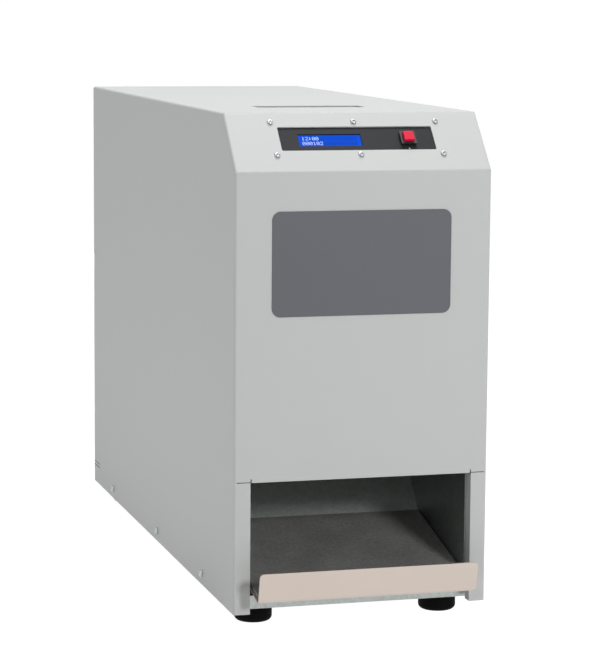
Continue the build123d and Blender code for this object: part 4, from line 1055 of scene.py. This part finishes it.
@dataclass
class Studio:
    """Floor, soft lights, white surroundings and the camera."""

    eye: Vector = field(default_factory=lambda: Vector((-718.9, -2664.1, 625.3)) * MM)
    heading: Vector = field(default_factory=lambda: Vector((0.271546, 0.953271, -0.132429)))
    right: Vector = field(default_factory=lambda: Vector((0.961997, -0.272950, 0.007785)))
    focal_px: float = 2510.7
    image_height_px: float = 650.0
    sensor_mm: float = 36.0
    floor_size: float = 80.0
    floor_colour: str = "#F2F2F2"
    floor_share: float = 0.7
    floor_white: float = 1.35
    ambient: float = 0.22
    target: Vector = field(default_factory=lambda: Vector((0.0, -0.2, 0.25)))
    lamps: tuple[tuple[str, tuple[float, float, float], float, float], ...] = (
        ("key_softbox", (0.85, -2.6, 1.1), 0.4, 26.0),
        ("fill_softbox", (-3.2, -0.6, 1.1), 1.6, 16.4),
        ("top_softbox", (0.2, 0.05, 2.7), 1.0, 42.0),
        ("rear_softbox", (0.3, 3.2, 0.32), 0.5, 14.0),
    )

    def build(self) -> None:
        """Set the whole studio up."""
        scene = bpy.context.scene
        scene.view_settings.view_transform = "Standard"
        self.camera(scene)
        self.floor()
        self.world(scene)
        for name, place, size, watts in self.lamps:
            self.softbox(name, Vector(place), size, watts)

    def camera(self, scene: bpy.types.Scene) -> None:
        """Stand the camera where the photograph was taken from.

        Args:
            scene: The scene that gets the camera.
        """
        lens = bpy.data.cameras.new("view")
        lens.sensor_width = self.sensor_mm
        lens.lens = self.focal_px * self.sensor_mm / self.image_height_px
        lens.clip_end = 2 * self.floor_size
        camera = bpy.data.objects.new("view", lens)
        up = self.right.cross(self.heading)
        camera.matrix_world = axes(self.eye, self.right, up)
        scene.collection.objects.link(camera)
        scene.camera = camera

    def softbox(self, name: str, place: Vector, size: float, watts: float) -> None:
        """Hang a square soft light that faces the machine.

        Args:
            name: The light's name.
            place: Where it hangs.
            size: Length of its side.
            watts: Its power.
        """
        light = bpy.data.lights.new(name, "AREA")
        light.size = size
        light.energy = watts
        lamp = bpy.data.objects.new(name, light)
        lamp.location = place
        lamp.rotation_euler = (self.target - place).to_track_quat("-Z", "Y").to_euler()
        bpy.context.scene.collection.objects.link(lamp)

    def seen(self, tree: bpy.types.NodeTree) -> bpy.types.NodeSocket:
        """Tell rays that look at the surroundings from rays that light the machine.

        Args:
            tree: The nodes that ask.

        Returns:
            A socket that is 1 for camera, glossy and transmission rays.
        """
        path = add(tree, "ShaderNodeLightPath")
        looks = ("Is Camera Ray", "Is Glossy Ray", "Is Transmission Ray")
        total = path.outputs[looks[0]]
        for look in looks[1:]:
            step = add(tree, "ShaderNodeMath", {"operation": "MAXIMUM"})
            tree.links.new(total, step.inputs[0])
            tree.links.new(path.outputs[look], step.inputs[1])
            total = step.outputs[0]
        return total

    def world(self, scene: bpy.types.Scene) -> None:
        """Surround the machine with white that lights it softly.

        Args:
            scene: The scene that gets the world.
        """
        world = bpy.data.worlds.new("white_surroundings")
        world.use_nodes = True
        tree = world.node_tree
        tree.nodes.clear()
        glow = add(tree, "ShaderNodeBackground", {"Color": linear("#FFFFFF"), "Strength": self.ambient})
        white = add(tree, "ShaderNodeBackground", {"Color": linear("#FFFFFF"), "Strength": 1.0})
        mixed = add(tree, "ShaderNodeMixShader")
        tree.links.new(self.seen(tree), mixed.inputs[0])
        tree.links.new(glow.outputs[0], mixed.inputs[1])
        tree.links.new(white.outputs[0], mixed.inputs[2])
        add(tree, "ShaderNodeOutputWorld", {}, {"Surface": mixed.outputs[0]})
        scene.world = world

    def floor(self) -> None:
        """Lay a pale floor that keeps the machine's shadow."""
        mesh = bmesh.new()
        bmesh.ops.create_grid(mesh, x_segments=1, y_segments=1, size=self.floor_size / 2)
        data = bpy.data.meshes.new("floor")
        mesh.to_mesh(data)
        mesh.free()
        floor = bpy.data.objects.new("floor", data)
        bpy.context.scene.collection.objects.link(floor)
        paper = bpy.data.materials.new("matt_white_floor")
        paper.use_nodes = True
        tree = paper.node_tree
        tree.nodes.clear()
        matt = add(tree, "ShaderNodeBsdfDiffuse", {"Color": linear(self.floor_colour)})
        white = add(tree, "ShaderNodeEmission", {"Color": linear("#FFFFFF"), "Strength": self.floor_white})
        share = add(tree, "ShaderNodeMath", {"operation": "MULTIPLY"})
        share.inputs[1].default_value = self.floor_share
        tree.links.new(self.seen(tree), share.inputs[0])
        mixed = add(tree, "ShaderNodeMixShader")
        tree.links.new(share.outputs[0], mixed.inputs[0])
        tree.links.new(matt.outputs[0], mixed.inputs[1])
        tree.links.new(white.outputs[0], mixed.inputs[2])
        add(tree, "ShaderNodeOutputMaterial", {}, {"Surface": mixed.outputs[0]})
        floor.data.materials.append(paper)


def main() -> None:
    """Dress every sub-assembly, add its fine pieces and set up the studio."""
    logging.basicConfig(level=logging.INFO, format="%(name)s: %(message)s")
    bare = set(frame["nodes"])
    for group in (Cabinet(), ExitBay(), ControlPanel(), CoilUnit(), PulseSupply(), RearPanel()):
        group.dress()
        group.build()
        bare -= set(group.dress_code)
        log.info("dressed %s", type(group).__name__)
    if bare:
        log.warning("nodes without a finish: %s", sorted(bare))
    Studio().build()


if __name__ == "__main__":
    main()
